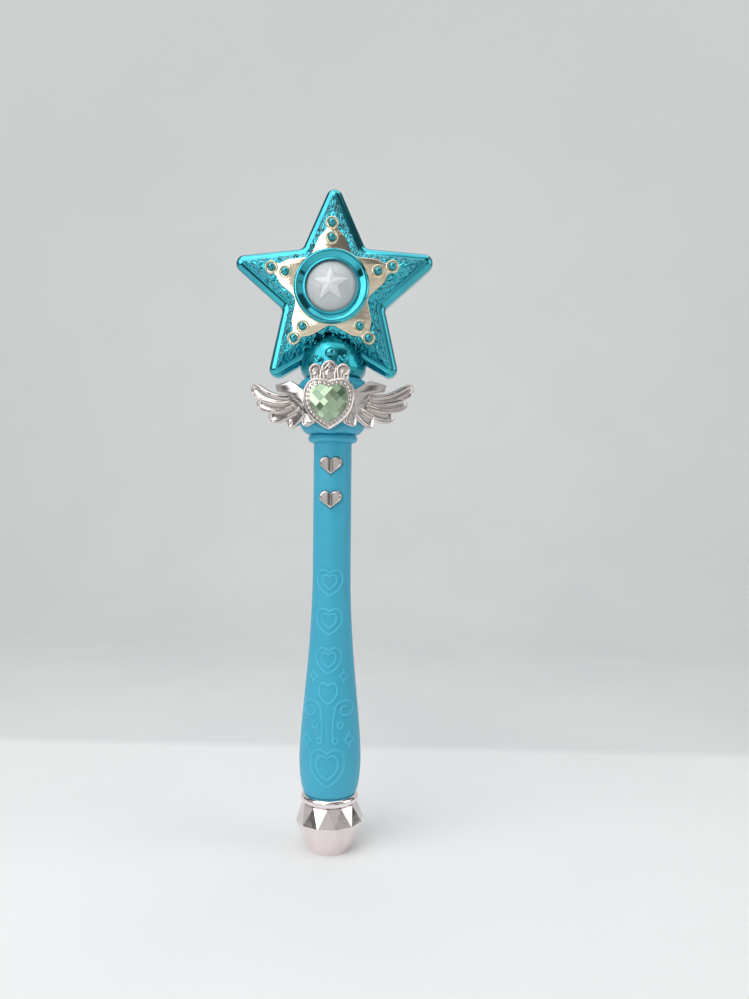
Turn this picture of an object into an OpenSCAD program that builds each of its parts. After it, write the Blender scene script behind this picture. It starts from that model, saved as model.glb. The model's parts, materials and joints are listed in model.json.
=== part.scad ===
// Toy magic wand: a plated star head with a light, a winged heart crest, a grip with two push
// buttons and a faceted end cap. Millimetres. The wand stands on its cap, +Z runs up the grip and
// the front of the star faces -Y. "Forward" below is the distance from the axis towards the front.

/* [End cap] */
// Radius of the flat foot, at its corners
cap_foot_r = 11.2; // [9:0.1:14]
// Radius of the widest edge, at its corners
cap_girdle_r = 17.6; // [16:0.1:20]
// Height of the widest edge
cap_girdle_z = 15.3; // [10:0.1:19]
// Radius where the facets end
cap_shoulder_r = 14; // [13.5:0.1:16]
// Height of the faceted part
cap_facet_h = 24.4; // [21:0.1:30]
// Height of the rounded lip
cap_lip_h = 4.6; // [3:0.1:6]
// Outer radius of the lip
cap_lip_r = 14.9; // [14:0.1:16]
// Facets round the cap
cap_sides = 12; // [8:1:16]
// How deep the grip plugs into the cap
spigot_len = 11; // [6:0.5:14]

/* [Grip] */
// Length from the cap to the bead ring
grip_len = 180; // [165:1:220]
// Radius of the slim part
grip_r = 9.8; // [9.4:0.1:11]
// Radius at the cap
grip_foot_r = 12.7; // [12:0.1:13.5]
// Height of the widest point above the cap
bulge_rise = 19; // [14:0.5:24]
// Room between the cells and the wall at the widest point
bulge_room = 3.3; // [2.5:0.1:5]
// Length of the taper above the widest point
taper_len = 97; // [85:1:105]
// How fast the taper leaves the bulge
taper_bias = 0.75; // [0.7:0.05:1]
// Wall of the grip and hub
wall = 1.8; // [1.4:0.1:2]

/* [Hub] */
// Radius of the bead ring under the hub
bead_r = 12.7; // [11.5:0.1:13.5]
// Height of the bead ring
bead_h = 4.2; // [3:0.1:5]
// Radius of the hub
hub_r = 18.5; // [17.5:0.1:20]
// Height of the hub
hub_h = 28.6; // [27:0.1:32]
// Radius of the hub where it leaves the bead ring
hub_foot_r = 12; // [11:0.1:13]
// Radius of the hub's top face
hub_top_r = 14; // [13:0.1:15]
// Height over which the hub swells
hub_swell_h = 14; // [11:0.5:16]
// Height of the rounded shoulder of the hub
hub_round_h = 7; // [5:0.5:9]

/* [Neck] */
// Radius of the bulb under the star
neck_r = 16.9; // [15:0.1:18]
// Radius of the bulb where it meets the hub
neck_foot_r = 14.2; // [12:0.1:15]
// Height from the hub to the widest point of the bulb
neck_swell_h = 5.4; // [4:0.1:8]
// Height of the bulb's dome above its widest point
neck_dome_h = 14; // [11:0.5:17]
// Wall of the bulb
neck_wall = 1.8; // [1.4:0.1:2.4]
// Radius of the stem that carries the star
stem_r = 5.5; // [4.5:0.1:6]
// Wall of the stem
stem_wall = 1.5; // [1.2:0.1:2]
// Thickness of the stem's flanges
stem_flange_h = 2; // [1.5:0.1:2.5]
// Width of the stem's flange inside the star
stem_flange_w = 1.7; // [1.2:0.1:2]
// Radius of the small ball on the bulb
neck_ball_r = 2.8; // [2:0.1:3.5]

/* [Star] */
// Radius of the star to its tips before they are rounded
star_sharp_r = 60; // [56:0.5:66]
// Half of the angle of a point
star_half_angle = 23.6; // [22:0.1:26]
// Rounding of the tips
tip_round = 4.5; // [3:0.1:6]
// Rounding of the notches
notch_round = 3.5; // [2:0.1:5]
// How far the bulb's dome reaches up over the bottom notch
star_sink = 3.2; // [2:0.1:4]
// Wall of the star shells
star_wall = 1.6; // [1.2:0.1:1.8]
// Height of the straight side wall in each shell
side_wall_h = 1.6; // [1:0.1:2.5]
// Distance of the ridge line from the outline
ridge_inset = 3.75; // [3:0.05:4.5]
// Forward distance of the ridge line
ridge_f = 5.5; // [5:0.1:7]
// Distance of the plate's seat from the outline
seat_inset = 8; // [7.5:0.1:8.5]
// Forward distance of the plate's seat
seat_f = 12.5; // [11.5:0.1:15]
// Depth of the rear shell
back_depth = 11; // [10:0.1:13]
// Width of the rounding of the back
back_round = 10; // [8:0.1:11]
// Distance of the screws from the star's centre
star_screw_rho = 33; // [31:0.5:35]

/* [Trim and light] */
// Thickness of the gold plate
plate_t = 1.2; // [0.8:0.1:1.6]
// Radius of the half-ball studs
gem_r = 2.3; // [1.8:0.1:2.6]
// Distance of the inner studs from the star's centre
gem_inner_rho = 24.6; // [24:0.1:25.5]
// Distance of the outer studs from the star's centre
gem_outer_rho = 32; // [31:0.1:33]
// Width of the bezels round the studs
bezel_w = 1; // [0.6:0.1:1.2]
// Height of the bezels above the plate
bezel_h = 0.8; // [0.4:0.1:1.5]
// Outer radius of the light's ring
ring_r = 19; // [18:0.1:19.8]
// Height of the ring
ring_h = 3; // [2:0.1:4]
// Radius of the dome
lens_r = 13; // [11:0.1:14]
// Rise of the dome
lens_rise = 6.5; // [4.5:0.1:9]
// Width of the rim that holds the dome under the ring
lens_rim_w = 1.6; // [1:0.1:2]
// Radius of the raised star on the dome
lens_star_r = 9.3; // [6:0.1:10]
// Radius of the light's circuit board
led_board_r = 8.5; // [7:0.1:10]
// Radius of the lamp
led_r = 2.5; // [1.5:0.1:3]

/* [Crest] */
// Height of the crest's centre above the bead ring
crest_rise = 13.4; // [12:0.1:15]
// Width of the heart frame
heart_w = 25.6; // [24:0.1:28]
// Height of the heart frame
heart_h = 25.4; // [24:0.1:28]
// Depth of the heart frame
heart_d = 3.1; // [2.5:0.1:4]
// Width of the stone
stone_w = 18.5; // [16:0.1:20]
// Height of the stone
stone_h = 18.5; // [16:0.1:20]
// Height of the stone's crown
stone_rise = 2.6; // [1.5:0.1:3.5]
// Thickness of the crest's plate
crest_t = 1.6; // [1.2:0.1:2.2]
// Angle at which the wings sweep back
wing_sweep = 28; // [15:1:35]
// Half width of a long feather
feather_w = 3.3; // [2.9:0.1:3.8]
// Radius of the middle lobe of the crown
crown_r = 4.2; // [3.5:0.1:5]
// Radius of the side lobes of the crown
crown_side_r = 3.4; // [3:0.1:4]
// Spacing of the crown's lobes
crown_pitch = 6.8; // [6:0.1:7.5]
// Height of the crown's middle lobe above the heart
crown_h = 9.1; // [8.5:0.1:10]
// Height of the crown's side lobes above the heart
crown_side_h = 7.5; // [6.8:0.1:8.2]

/* [Buttons] */
// Width of a heart button
button_w = 11.5; // [10.5:0.1:12]
// Height of a heart button
button_h = 9.2; // [8.5:0.1:11]
// How far the buttons stand proud of the grip
button_proud = 1.2; // [0.8:0.1:2.5]
// How far a button can be pressed
button_travel = 0.6; // [0.3:0.1:0.8]
// Distance from the bead ring down to the upper button
button_drop = 12; // [11:0.1:16]
// Distance between the buttons
button_pitch = 17.3; // [16.5:0.1:22]
// Width of the flange that keeps a button in
button_flange_w = 0.6; // [0.4:0.1:0.8]
// Side of a switch body
switch_w = 6; // [4.5:0.1:6.5]
// Height of a switch body
switch_h = 3.5; // [2.5:0.1:4]

/* [Power and sound] */
// Diameter of a cell
cell_d = 10.5; // [10:0.1:11]
// Length of a cell
cell_l = 44.5; // [42:0.1:46]
// Thickness of the circuit boards
board_t = 1.2; // [0.8:0.1:1.6]
// Radius of the speaker
speaker_r = 9; // [7.5:0.1:9.4]
// Depth of the speaker
speaker_d = 4.4; // [3:0.1:5]
// Diameter of the leads
lead_d = 1.4; // [1:0.1:1.8]
// Radius of a screw's shank
screw_r = 1; // [0.8:0.1:1.2]
// Radius of a screw's head
screw_head_r = 2.1; // [1.8:0.1:2.3]
// Height of a screw's head
screw_head_h = 1.4; // [1:0.1:1.6]

/* [Hidden] */
$fn = 64;

// Play between seated pieces, round moving pieces, and the overlap that joins shapes of one piece
seat = 0.05;
play = 0.25;
join = 0.4;
far = 60;

// Heights up the wand
cap_h = cap_facet_h + cap_lip_h;
bulge_z = cap_h + bulge_rise;
grip_top_z = cap_h + grip_len;
hub_z = grip_top_z + bead_h;
hub_top_z = hub_z + hub_h;
neck_wide_z = hub_top_z + neck_swell_h;
neck_top_z = neck_wide_z + neck_dome_h;

// Grip: the bulge goes round a pair of cells
cell_r = cell_d / 2;
cell_x = cell_r + play;
bulge_r = cell_x + cell_r + bulge_room + wall;
grip_in = grip_r - wall;
spigot_r = grip_foot_r - wall - join;
cap_bore_r = spigot_r + seat;

// Star outline: the distance of its sides from the centre and the angle between a side and a notch
side_dist = star_sharp_r * sin(star_half_angle);
notch_angle = 54 - star_half_angle;
notch_r = (side_dist + notch_round) / cos(notch_angle) - notch_round;
star_z = neck_top_z - star_sink + notch_r;
tip_steps = 6;
notch_steps = 4;
smallest_round = 0.6;

// Stem through the neck: one flange under the hub's top, one inside the star
stem_bore = stem_r - stem_wall;
stem_hole_r = stem_r + seat;
hub_flange_r = stem_r + 2 * stem_flange_w;
hub_flange_top = hub_top_z - wall - seat;
hub_flange_z = hub_flange_top - stem_flange_h;
rib_z = hub_flange_z - seat - wall;
stem_foot_z = rib_z - seat;
star_flange_z = star_z - notch_r + seat_inset + stem_flange_h / 2;
stem_top_z = star_flange_z + stem_flange_h;

// Light in the star
plate_f = seat_f + plate_t;
lens_rim_r = lens_r + lens_rim_w;
light_hole_r = lens_r - 1;
lens_wall = 1.5;
led_board_f = 0.5;
led_f = led_board_f + board_t;
led_post_x = led_board_r - 3;
led_post_r = 2;
led_body_h = 4;
led_flange = 0.4;

// Crest: its back stands off the hub, the heart frame on its plate, the stone in the frame's pocket
crest_z = hub_z + crest_rise;
crest_f = hub_r + seat;
heart_f = crest_f + crest_t + seat;
stone_f = heart_f + 1;
frame_top_w = 3.2;
frame_dip = 0.04 * heart_h;
stone_dip = 0.1 * stone_h;
stone_up = (heart_h - stone_h) / 2 - frame_top_w;
crest_pin_r = 1.5;
crest_pin_x = 7;
lobe = 0.265;
lobe_steps = 12;
wing_under = 2.8;
wing_root_x = heart_w / 2 - wing_under;
root_top = 8;
root_low = 5;
// Shoulder plate of a wing in the wing's plane, from its outer corner round
shoulder = [
    [18.6, 9.3], [9.7, 12.2], [6, 10.2], [0.6, 6.3], [0.6, -1], [7.4, 2.6], [9.6, 5.2], [17.4, 6.4]
];
// Feathers from the top: root, bend and tip of the middle line, and width as a share of a long one
feathers = [
    [[11.3, 2.8], [26, 2.8], [34.3, 11.4], 1],
    [[9.1, 0.5], [22.7, -2.2], [30.8, 3.3], 1],
    [[7.4, -1.7], [17, -6.3], [23.6, -3.8], 1.1],
    [[3.6, -3], [8.4, -7.8], [12.8, -8.2], 1.15],
    [[0.5, -2.5], [0.2, -6.5], [-0.6, -10.6], 1.1]
];
// Plate behind the feathers, from the lower corner under the heart round
wing_root = [[-join, -root_low], [9, -2], [11, 4], [4, root_top], [-join, root_top]];
feather_steps = 8;
feather_layer = 0.3;

// Buttons: the flange sits as far forward as the bore of the grip lets it
button_z = [grip_top_z - button_drop, grip_top_z - button_drop - button_pitch];
flange_half = button_w / 2 + play + button_flange_w;
flange_f = sqrt(pow(grip_in - play, 2) - pow(flange_half, 2));
flange_t = 1;
guide_t = 1.2;
plunger_l = 0.8;
plunger_r = 1.7;
stem_out = button_travel + 0.2;
stem_in = 0.7;
switch_f = flange_f - flange_t - plunger_l - stem_out;
board_f = switch_f - switch_h;
board_y = -board_f + seat;
board_room = 0.75;
board_below = 13;
board_above = 9;
board_w = 2 * (sqrt(pow(grip_in - play, 2) - pow(board_y + board_t, 2)) - board_room);
board_low = button_z[1] - board_below;
board_top = button_z[0] + board_above;
rail_w = 1.8;
rail_t = 1.6;
chip_r = 3.8;
chip_h = 1.4;

// Cells stand on the lower contact; a bulkhead with the upper contacts closes the bay
contact_t = 0.4;
contact_w = 7;
floor_z = cap_h + wall;
cell_z = floor_z + 2 * seat + contact_t;
upper_contact_z = cell_z + cell_l + seat;
bulkhead_z = upper_contact_z + contact_t + seat;
bay_top_z = bulkhead_z + wall;
bay_r = grip_radius(bay_top_z) - wall;
tail_w = 2.4;
tail_x = cell_x + 0.5;
tail_y = 2;
nub_h = 1;
nub_r = 2.75;

// Battery door: a panel of the rear wall as wide as the bay, with a tongue over a screw boss above it
door_half = cell_x + cell_r + 0.2;
door_low = floor_z + 1.5;
door_wide_top = bulkhead_z - 2 * play;
door_boss_r = screw_head_r + 1;
boss_h = 2 * (door_boss_r + play);
door_top = bay_top_z + boss_h + 1;
door_screw_z = bay_top_z + boss_h / 2;
door_boss_w = 7;
tongue_half = door_boss_w / 2 + 1;

// Screws along Y: seats for their heads, bosses round them
boss_r = screw_head_r + 1.2;
head_hole_r = screw_head_r + play;
shank_hole_r = screw_r + seat;
grip_screw_y = 5.2;
grip_screws = [[0, board_low - 8], [0, bay_top_z + 0.4 * (board_low - bay_top_z)]];
hub_screw_x = 10.3;
hub_screw_z = hub_z + 4.2;
hub_screws = [[-hub_screw_x, hub_screw_z], [hub_screw_x, hub_screw_z]];
all_screws = concat(grip_screws, hub_screws);
screw_len = 10;
star_screw_f = 5.5;
star_screw_len = 12;
boss_corner_r = grip_radius(bay_top_z + boss_h) - wall - play;
door_pad_y = sqrt(pow(boss_corner_r, 2) - pow(door_boss_w / 2, 2));
door_seat_y = door_pad_y + seat + 1;
door_screw_len = 6.5;

// Speaker in the back of the hub, in a ring with a stop and sound holes
speaker_z = rib_z - speaker_r - 1;
speaker_ring_t = 1.4;
speaker_stop = 1.2;
speaker_y = sqrt(pow(hub_r - wall, 2) - pow(speaker_r + speaker_ring_t, 2)) - 1;
sound_hole_r = 0.9;
sound_hole_pitch = 4;

// Leads, from end to end
lead_r = lead_d / 2;
lead_sides = 8;
lead_y = board_y + board_t / 2;
led_route = [
    [2, lead_y, board_top + seat], [1.4, lead_y, board_top + 3], [0.6, 0.8, hub_z + 3],
    [0, 0.3, hub_z + 14], [0, 0, stem_foot_z], [0, 0, star_z - notch_r],
    [0, 0, stem_top_z], [0, -0.5, stem_top_z + 3],
    [0, -led_board_f - board_t / 2, star_z - led_board_r - seat]
];
battery_route = [
    [tail_x, tail_y, bay_top_z + 1.2], [tail_x - 0.2, tail_y, bay_top_z + 14],
    [boss_r + lead_d, tail_y, bay_top_z + 30], [boss_r + lead_d, tail_y, board_low - 12],
    [boss_r + lead_d, lead_y, board_low - 4], [boss_r + lead_d, lead_y, board_low - seat]
];
speaker_route = [
    [-3.5, lead_y, board_top + seat], [-3.5, lead_y, board_top + 3],
    [-3.6, lead_y + 0.6, hub_z + 1], [-3.8, lead_y + 3, speaker_z - 4.5],
    [-4, speaker_y - speaker_d - 1.6, speaker_z - 3.2], [-4, speaker_y - speaker_d - seat, speaker_z - 3]
];

// Radius of the grip at a height: an elliptic foot, then a long cosine taper
function grip_radius(z) =
    z < bulge_z
    ? grip_foot_r + (bulge_r - grip_foot_r) * sqrt(max(0, 1 - pow((bulge_z - z) / bulge_rise, 2)))
    : z < bulge_z + taper_len
    ? grip_r + (bulge_r - grip_r) * (1 + cos(180 * pow((z - bulge_z) / taper_len, taper_bias))) / 2
    : grip_r;

// Points [r, z] of a quarter ellipse from angle a0 to a1
function quarter(r0, z0, dr, dz, a0, a1, steps) =
    [for (i = [0:steps]) let (a = a0 + (a1 - a0) * i / steps) [r0 + dr * cos(a), z0 + dz * sin(a)]];

foot_steps = 6;
taper_steps = 14;
foot_heights = [for (i = [1:foot_steps]) bulge_z - bulge_rise * cos(90 * i / foot_steps)];
taper_heights = [for (i = [1:taper_steps]) bulge_z + taper_len * i / taper_steps];
grip_heights = concat(foot_heights, taper_heights);

hub_wide_z = hub_z + hub_swell_h;
hub_shoulder_z = hub_top_z - hub_round_h;
hub_in = hub_r - wall;

// Outer outline of grip, bead ring and hub, from the spigot up
outer_profile = concat(
    [[spigot_r, cap_h - spigot_len], [spigot_r, cap_h], [grip_foot_r, cap_h]],
    [for (z = grip_heights) [grip_radius(z), z]],
    [[grip_r, grip_top_z]],
    quarter(bead_r - bead_h / 2, grip_top_z + bead_h / 2, bead_h / 2, bead_h / 2, -90, 90, 8),
    quarter(hub_foot_r, hub_wide_z, hub_r - hub_foot_r, hub_swell_h, -90, 0, 6),
    quarter(hub_top_r, hub_shoulder_z, hub_r - hub_top_r, hub_round_h, 0, 90, 5)
);
// Outline of the hollow, from the top down
inner_profile = concat(
    [[stem_hole_r, hub_top_z], [stem_hole_r, hub_top_z - wall]],
    quarter(hub_top_r - wall, hub_shoulder_z, hub_r - hub_top_r, hub_round_h - wall, 90, 0, 5),
    quarter(grip_in, hub_wide_z, hub_in - grip_in, hub_swell_h - wall, 0, -90, 6),
    [for (i = [len(grip_heights) - 1:-1:0]) let (z = grip_heights[i]) if (z > floor_z + 0.5)
        [grip_radius(z) - wall, z]],
    [[grip_radius(floor_z) - wall, floor_z], [0, floor_z], [0, cap_h]],
    [[spigot_r - wall, cap_h], [spigot_r - wall, cap_h - spigot_len]]
);

// Rounded star outline moved inwards by d, tip first
function tip_arc(a, d) =
    let (r = max(tip_round - d, smallest_round), rho = (side_dist - d - r) / sin(star_half_angle),
        half = 90 - star_half_angle)
    [for (i = [0:tip_steps]) let (t = a - half + 2 * half * i / tip_steps)
        rho * [cos(a), sin(a)] + r * [cos(t), sin(t)]];
function notch_arc(a, d) =
    let (r = notch_round + d, rho = (side_dist - d + r) / cos(notch_angle))
    [for (i = [0:notch_steps]) let (t = a + notch_angle - 2 * notch_angle * i / notch_steps)
        rho * [cos(a), sin(a)] - r * [cos(t), sin(t)]];
function star_outline(d) =
    [for (k = [0:4]) each concat(tip_arc(90 + 72 * k, d), notch_arc(126 + 72 * k, d))];
function star_ring(d, f) = [for (p = star_outline(d)) [p[0], -f, star_z + p[1]]];
function arm(k, rho) = let (a = 90 + 72 * k) [rho * cos(a), star_z + rho * sin(a)];

// Faces of a skin from a first point over m rings of n points to a last point
function skin_faces(n, m) = concat(
    [for (j = [0:n - 1]) [0, 1 + (j + 1) % n, 1 + j]],
    [for (k = [0:m - 2]) for (j = [0:n - 1]) let (a = 1 + k * n, b = a + n, i = (j + 1) % n)
        each [[a + j, a + i, b + i], [a + j, b + i, b + j]]],
    [for (j = [0:n - 1]) let (a = 1 + (m - 1) * n) [1 + m * n, a + j, a + (j + 1) % n]]
);
module skin(first, rings, last) {
    n = len(rings[0]);
    polyhedron(concat([first], [for (r = rings) each r], [last]), skin_faces(n, len(rings)));
}

// Heart outline of width w and height h round its middle, grown by g
function heart(w, h, g) =
    let (r = lobe * w, a = w / 2 - r, c = h / 2 - r, up = atan2(c + h / 2, a),
        lean = up - asin(r / norm([a, c + h / 2])), top = 180 - acos(a / (r + g)),
        arc = [for (i = [0:lobe_steps]) let (t = lean - 90 + (top - lean + 90) * i / lobe_steps)
            [a + (r + g) * cos(t), c + (r + g) * sin(t)]])
    concat([[0, -h / 2 - g / cos(lean)]], arc, [for (i = [lobe_steps - 1:-1:0]) [-arc[i][0], arc[i][1]]]);

// Feather outline along a bent middle line, with a round end
function bend(f, t) = pow(1 - t, 2) * f[0] + 2 * t * (1 - t) * f[1] + t * t * f[2];
function bend_side(f, t) = let (d = (1 - t) * (f[1] - f[0]) + t * (f[2] - f[1])) [-d[1], d[0]] / norm(d);
// Heart with full round sides and a shallow dip at its top, grown by g
function quad_bend(a, b, c, t) = pow(1 - t, 2) * a + 2 * t * (1 - t) * b + t * t * c;
function cubic_bend(a, b, c, d, t) =
    pow(1 - t, 3) * a + 3 * t * pow(1 - t, 2) * b + 3 * t * t * (1 - t) * c + pow(t, 3) * d;
function full_heart(w, h, dip, g) =
    let (x = w / 2 + g, z = h / 2 + g, n = lobe_steps,
        low = [for (i = [0:n - 1]) quad_bend([0, -z], [x, -0.48 * z], [x, 0.26 * z], i / n)],
        side = [for (i = [0:n - 1])
            cubic_bend([x, 0.26 * z], [x, 0.72 * z], [0.8 * x, z], [0.5 * x, z], i / n)],
        top = [for (i = [0:n])
            cubic_bend([0.5 * x, z], [0.26 * x, z], [0.06 * x, z - 0.7 * dip], [0, z - dip], i / n)],
        half = concat(low, side, top))
    concat(half, [for (i = [len(half) - 2:-1:1]) [-half[i][0], half[i][1]]]);

function feather_half(f, t) = feather_w * f[3] * (0.75 + 0.3 * t) * sqrt(max(0, 1 - pow(t, 8)));
function feather_edge(f, t, s) = bend(f, t) + s * feather_half(f, t) * bend_side(f, t);
function feather(f) =
    let (ts = [for (i = [0:feather_steps]) sin(90 * i / feather_steps)])
    concat([for (t = ts) feather_edge(f, t, -1)],
        [for (i = [feather_steps - 1:-1:0]) feather_edge(f, ts[i], 1)]);

// A round lead along a route
function unit(v) = v / norm(v);
function heading(p, i) = unit(p[min(i + 1, len(p) - 1)] - p[max(i - 1, 0)]);
function lead_ring(p, i) =
    let (t = heading(p, i), u = unit(cross(t, [1, 0, 0])), v = cross(t, u))
    [for (k = [0:lead_sides - 1]) let (a = 360 * k / lead_sides)
        p[i] + lead_r * (cos(a) * u - sin(a) * v)];
module lead(p) {
    last = len(p) - 1;
    skin(p[last], [for (i = [last:-1:0]) lead_ring(p, i)], p[0]);
}

// A flat shape in the X-Z plane from forward distance f0 to f1, and a round pin the same way
module face(f0, f1) translate([0, -f0, 0]) rotate([90, 0, 0]) linear_extrude(f1 - f0) children();
module pin(x, z, f0, f1, r) translate([x, -f0, z]) rotate([90, 0, 0]) cylinder(h = f1 - f0, r = r);
// A screw whose head rests on a seat at y and points to the front
module screw(x, y, z, length) {
    cross_l = 1.2 * screw_head_r;
    cross_w = 0.6;
    difference() {
        union() {
            pin(x, z, -y, -y + length, screw_r);
            pin(x, z, -y - screw_head_h, -y, screw_head_r);
        }
        for (a = [0, 90])
            translate([x, y + screw_head_h, z]) rotate([0, a, 0])
                cube([cross_l, screw_head_h, cross_w], center = true);
    }
}
// The filled half of grip and hub on the rear side
module grip_half() {
    axis_end = [[0, hub_top_z], [0, cap_h - spigot_len]];
    rotate_extrude(angle = 180) polygon(concat(outer_profile, axis_end));
}
module shell_half() rotate_extrude(angle = 180) polygon(concat(outer_profile, inner_profile));
module front() mirror([0, 1, 0]) children();
// On the rear side: the rib that holds the stem's flange, the bulkhead over the cells, the door's panel
module rib() {
    translate([0, 0, rib_z]) rotate_extrude(angle = 180)
        translate([stem_hole_r, 0]) square([hub_r - wall / 2 - stem_hole_r, wall]);
}
module bulkhead(r) translate([0, 0, bulkhead_z]) rotate_extrude(angle = 180) square([r, wall]);
module door_panel(gap) {
    translate([-door_half - gap, 0, door_low - gap])
        cube([2 * (door_half + gap), far, door_wide_top - door_low + 2 * gap]);
    translate([-tongue_half - gap, 0, door_low - gap])
        cube([2 * (tongue_half + gap), far, door_top - door_low + 2 * gap]);
}

module end_cap() {
    n = cap_sides;
    turn = 180 / n;
    rings = [[cap_foot_r, 0, 0], [cap_girdle_r, cap_girdle_z, turn], [cap_shoulder_r, cap_facet_h, 0]];
    corners = [for (g = rings) for (i = [0:n - 1]) let (a = -90 + g[2] + 360 * i / n)
        [g[0] * cos(a), g[0] * sin(a), g[1]]];
    foot = [for (i = [0:n - 1]) i];
    top = [for (i = [n - 1:-1:0]) 2 * n + i];
    low_band = [for (i = [0:n - 1]) let (j = (i + 1) % n) each [[i, n + i, j], [j, n + i, n + j]]];
    top_band = [for (i = [0:n - 1]) let (j = (i + 1) % n)
        each [[n + i, 2 * n + j, n + j], [2 * n + i, 2 * n + j, n + i]]];
    round_r = cap_lip_h / 2;
    color("mistyrose") difference() {
        union() {
            polyhedron(corners, concat([foot, top], low_band, top_band));
            rotate_extrude() polygon(concat(
                [[0, cap_facet_h - join], [cap_shoulder_r - 1, cap_facet_h - join]],
                quarter(cap_lip_r - round_r, cap_h - round_r, round_r, round_r, -90, 90, 10),
                [[0, cap_h]]
            ));
        }
        translate([0, 0, cap_h - spigot_len - 1]) cylinder(h = far, r = cap_bore_r);
        translate([0, 0, 2 * wall]) cylinder(h = far, r = cap_foot_r - 2 * wall);
    }
}

module handle_front_shell() {
    color("skyblue") difference() {
        union() {
            front() shell_half();
            front() rib();
            front() bulkhead(bay_r + join);
            front() intersection() {
                grip_half();
                for (s = all_screws) pin(s[0], s[1], -far, 0, boss_r);
            }
            intersection() {
                front() grip_half();
                for (z = button_z) translate([0, 0, z])
                    face(flange_f + seat, far) polygon(heart(button_w, button_h, play + guide_t));
            }
        }
        for (s = all_screws) pin(s[0], s[1], -1, screw_len - grip_screw_y + 0.5, shank_hole_r);
        for (z = button_z) translate([0, 0, z]) face(0, far) polygon(heart(button_w, button_h, play));
        for (s = [-1, 1]) pin(s * crest_pin_x, crest_z, 5, far, crest_pin_r + seat);
        translate([0, 0, rib_z]) cylinder(h = far, r = stem_hole_r);
    }
}

module handle_rear_shell() {
    ring_r = speaker_r + speaker_ring_t;
    color("skyblue") difference() {
        union() {
            difference() {
                union() {
                    shell_half();
                    bulkhead(bay_r + join);
                }
                door_panel(play);
            }
            rib();
            bulkhead(bay_r - play);
            intersection() {
                grip_half();
                union() {
                    for (s = all_screws) pin(s[0], s[1], -far, 0, boss_r);
                    for (s = [0, 1]) mirror([s, 0, 0])
                        translate([board_w / 2 - rail_w, board_y + board_t + seat, board_low + 2])
                            cube([far, rail_t, board_top - board_low - 4]);
                    pin(0, speaker_z, -far, -speaker_y + speaker_d - 1, ring_r);
                }
            }
            translate([-door_boss_w / 2, tail_y, bay_top_z - join])
                cube([door_boss_w, door_pad_y - tail_y, boss_h + join]);
        }
        for (s = all_screws) {
            pin(s[0], s[1], -far, 1, shank_hole_r);
            pin(s[0], s[1], -far, -grip_screw_y, head_hole_r);
        }
        pin(0, speaker_z, -speaker_y, 0, speaker_r + seat);
        pin(0, speaker_z, -hub_in + 1, 0, speaker_r - speaker_stop);
        for (i = [-2:2]) for (j = [-2:2]) if (abs(i) + abs(j) < 3)
            pin(i * sound_hole_pitch, speaker_z + j * sound_hole_pitch, -far, 0, sound_hole_r);
        pin(0, door_screw_z, -far, -door_pad_y + door_screw_len + 0.2, shank_hole_r);
        translate([0, 0, rib_z]) cylinder(h = far, r = stem_hole_r);
        for (s = [-1, 1]) translate([s * tail_x, tail_y, bulkhead_z + wall / 2])
            cube([tail_w + 2 * play, contact_t + 2 * play, 2 * wall], center = true);
    }
}

module handle_screws() {
    color("silver") for (s = all_screws) screw(s[0], grip_screw_y, s[1], screw_len);
}

module neck_socket() {
    dome = quarter(0, neck_wide_z, neck_r, neck_dome_h, 0, 84, 10);
    hollow = quarter(0, neck_wide_z, neck_r - neck_wall, neck_dome_h - neck_wall, 84, 0, 10);
    ball_rise = 0.38;
    ball_sunk = 0.3;
    ball_z = neck_wide_z + ball_rise * neck_dome_h;
    ball_f = neck_r * sqrt(1 - pow(ball_rise, 2)) - ball_sunk * neck_ball_r;
    color("darkturquoise") union() {
        difference() {
            union() {
                rotate_extrude() polygon(concat([[neck_foot_r - neck_wall, hub_top_z + seat],
                    [neck_foot_r, hub_top_z + seat]], dome, hollow));
                translate([0, -ball_f, ball_z]) sphere(r = neck_ball_r);
            }
            translate([0, 0, star_z]) face(-far, ridge_f + seat) polygon(star_outline(-seat));
            translate([0, 0, star_z]) face(ridge_f, far) polygon(star_outline(ridge_inset));
        }
        translate([0, 0, neck_wide_z - neck_wall]) difference() {
            cylinder(h = neck_wall, r = neck_r - neck_wall / 2);
            cylinder(h = far, r = stem_r - stem_wall / 2, center = true);
        }
        rotate_extrude() polygon([
            [stem_bore, stem_foot_z], [stem_r, stem_foot_z], [stem_r, hub_flange_z],
            [hub_flange_r, hub_flange_z], [hub_flange_r, hub_flange_top], [stem_r, hub_flange_top],
            [stem_r, star_flange_z], [stem_r + stem_flange_w, star_flange_z],
            [stem_r + stem_flange_w, stem_top_z], [stem_bore, stem_top_z]
        ]);
    }
}

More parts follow.
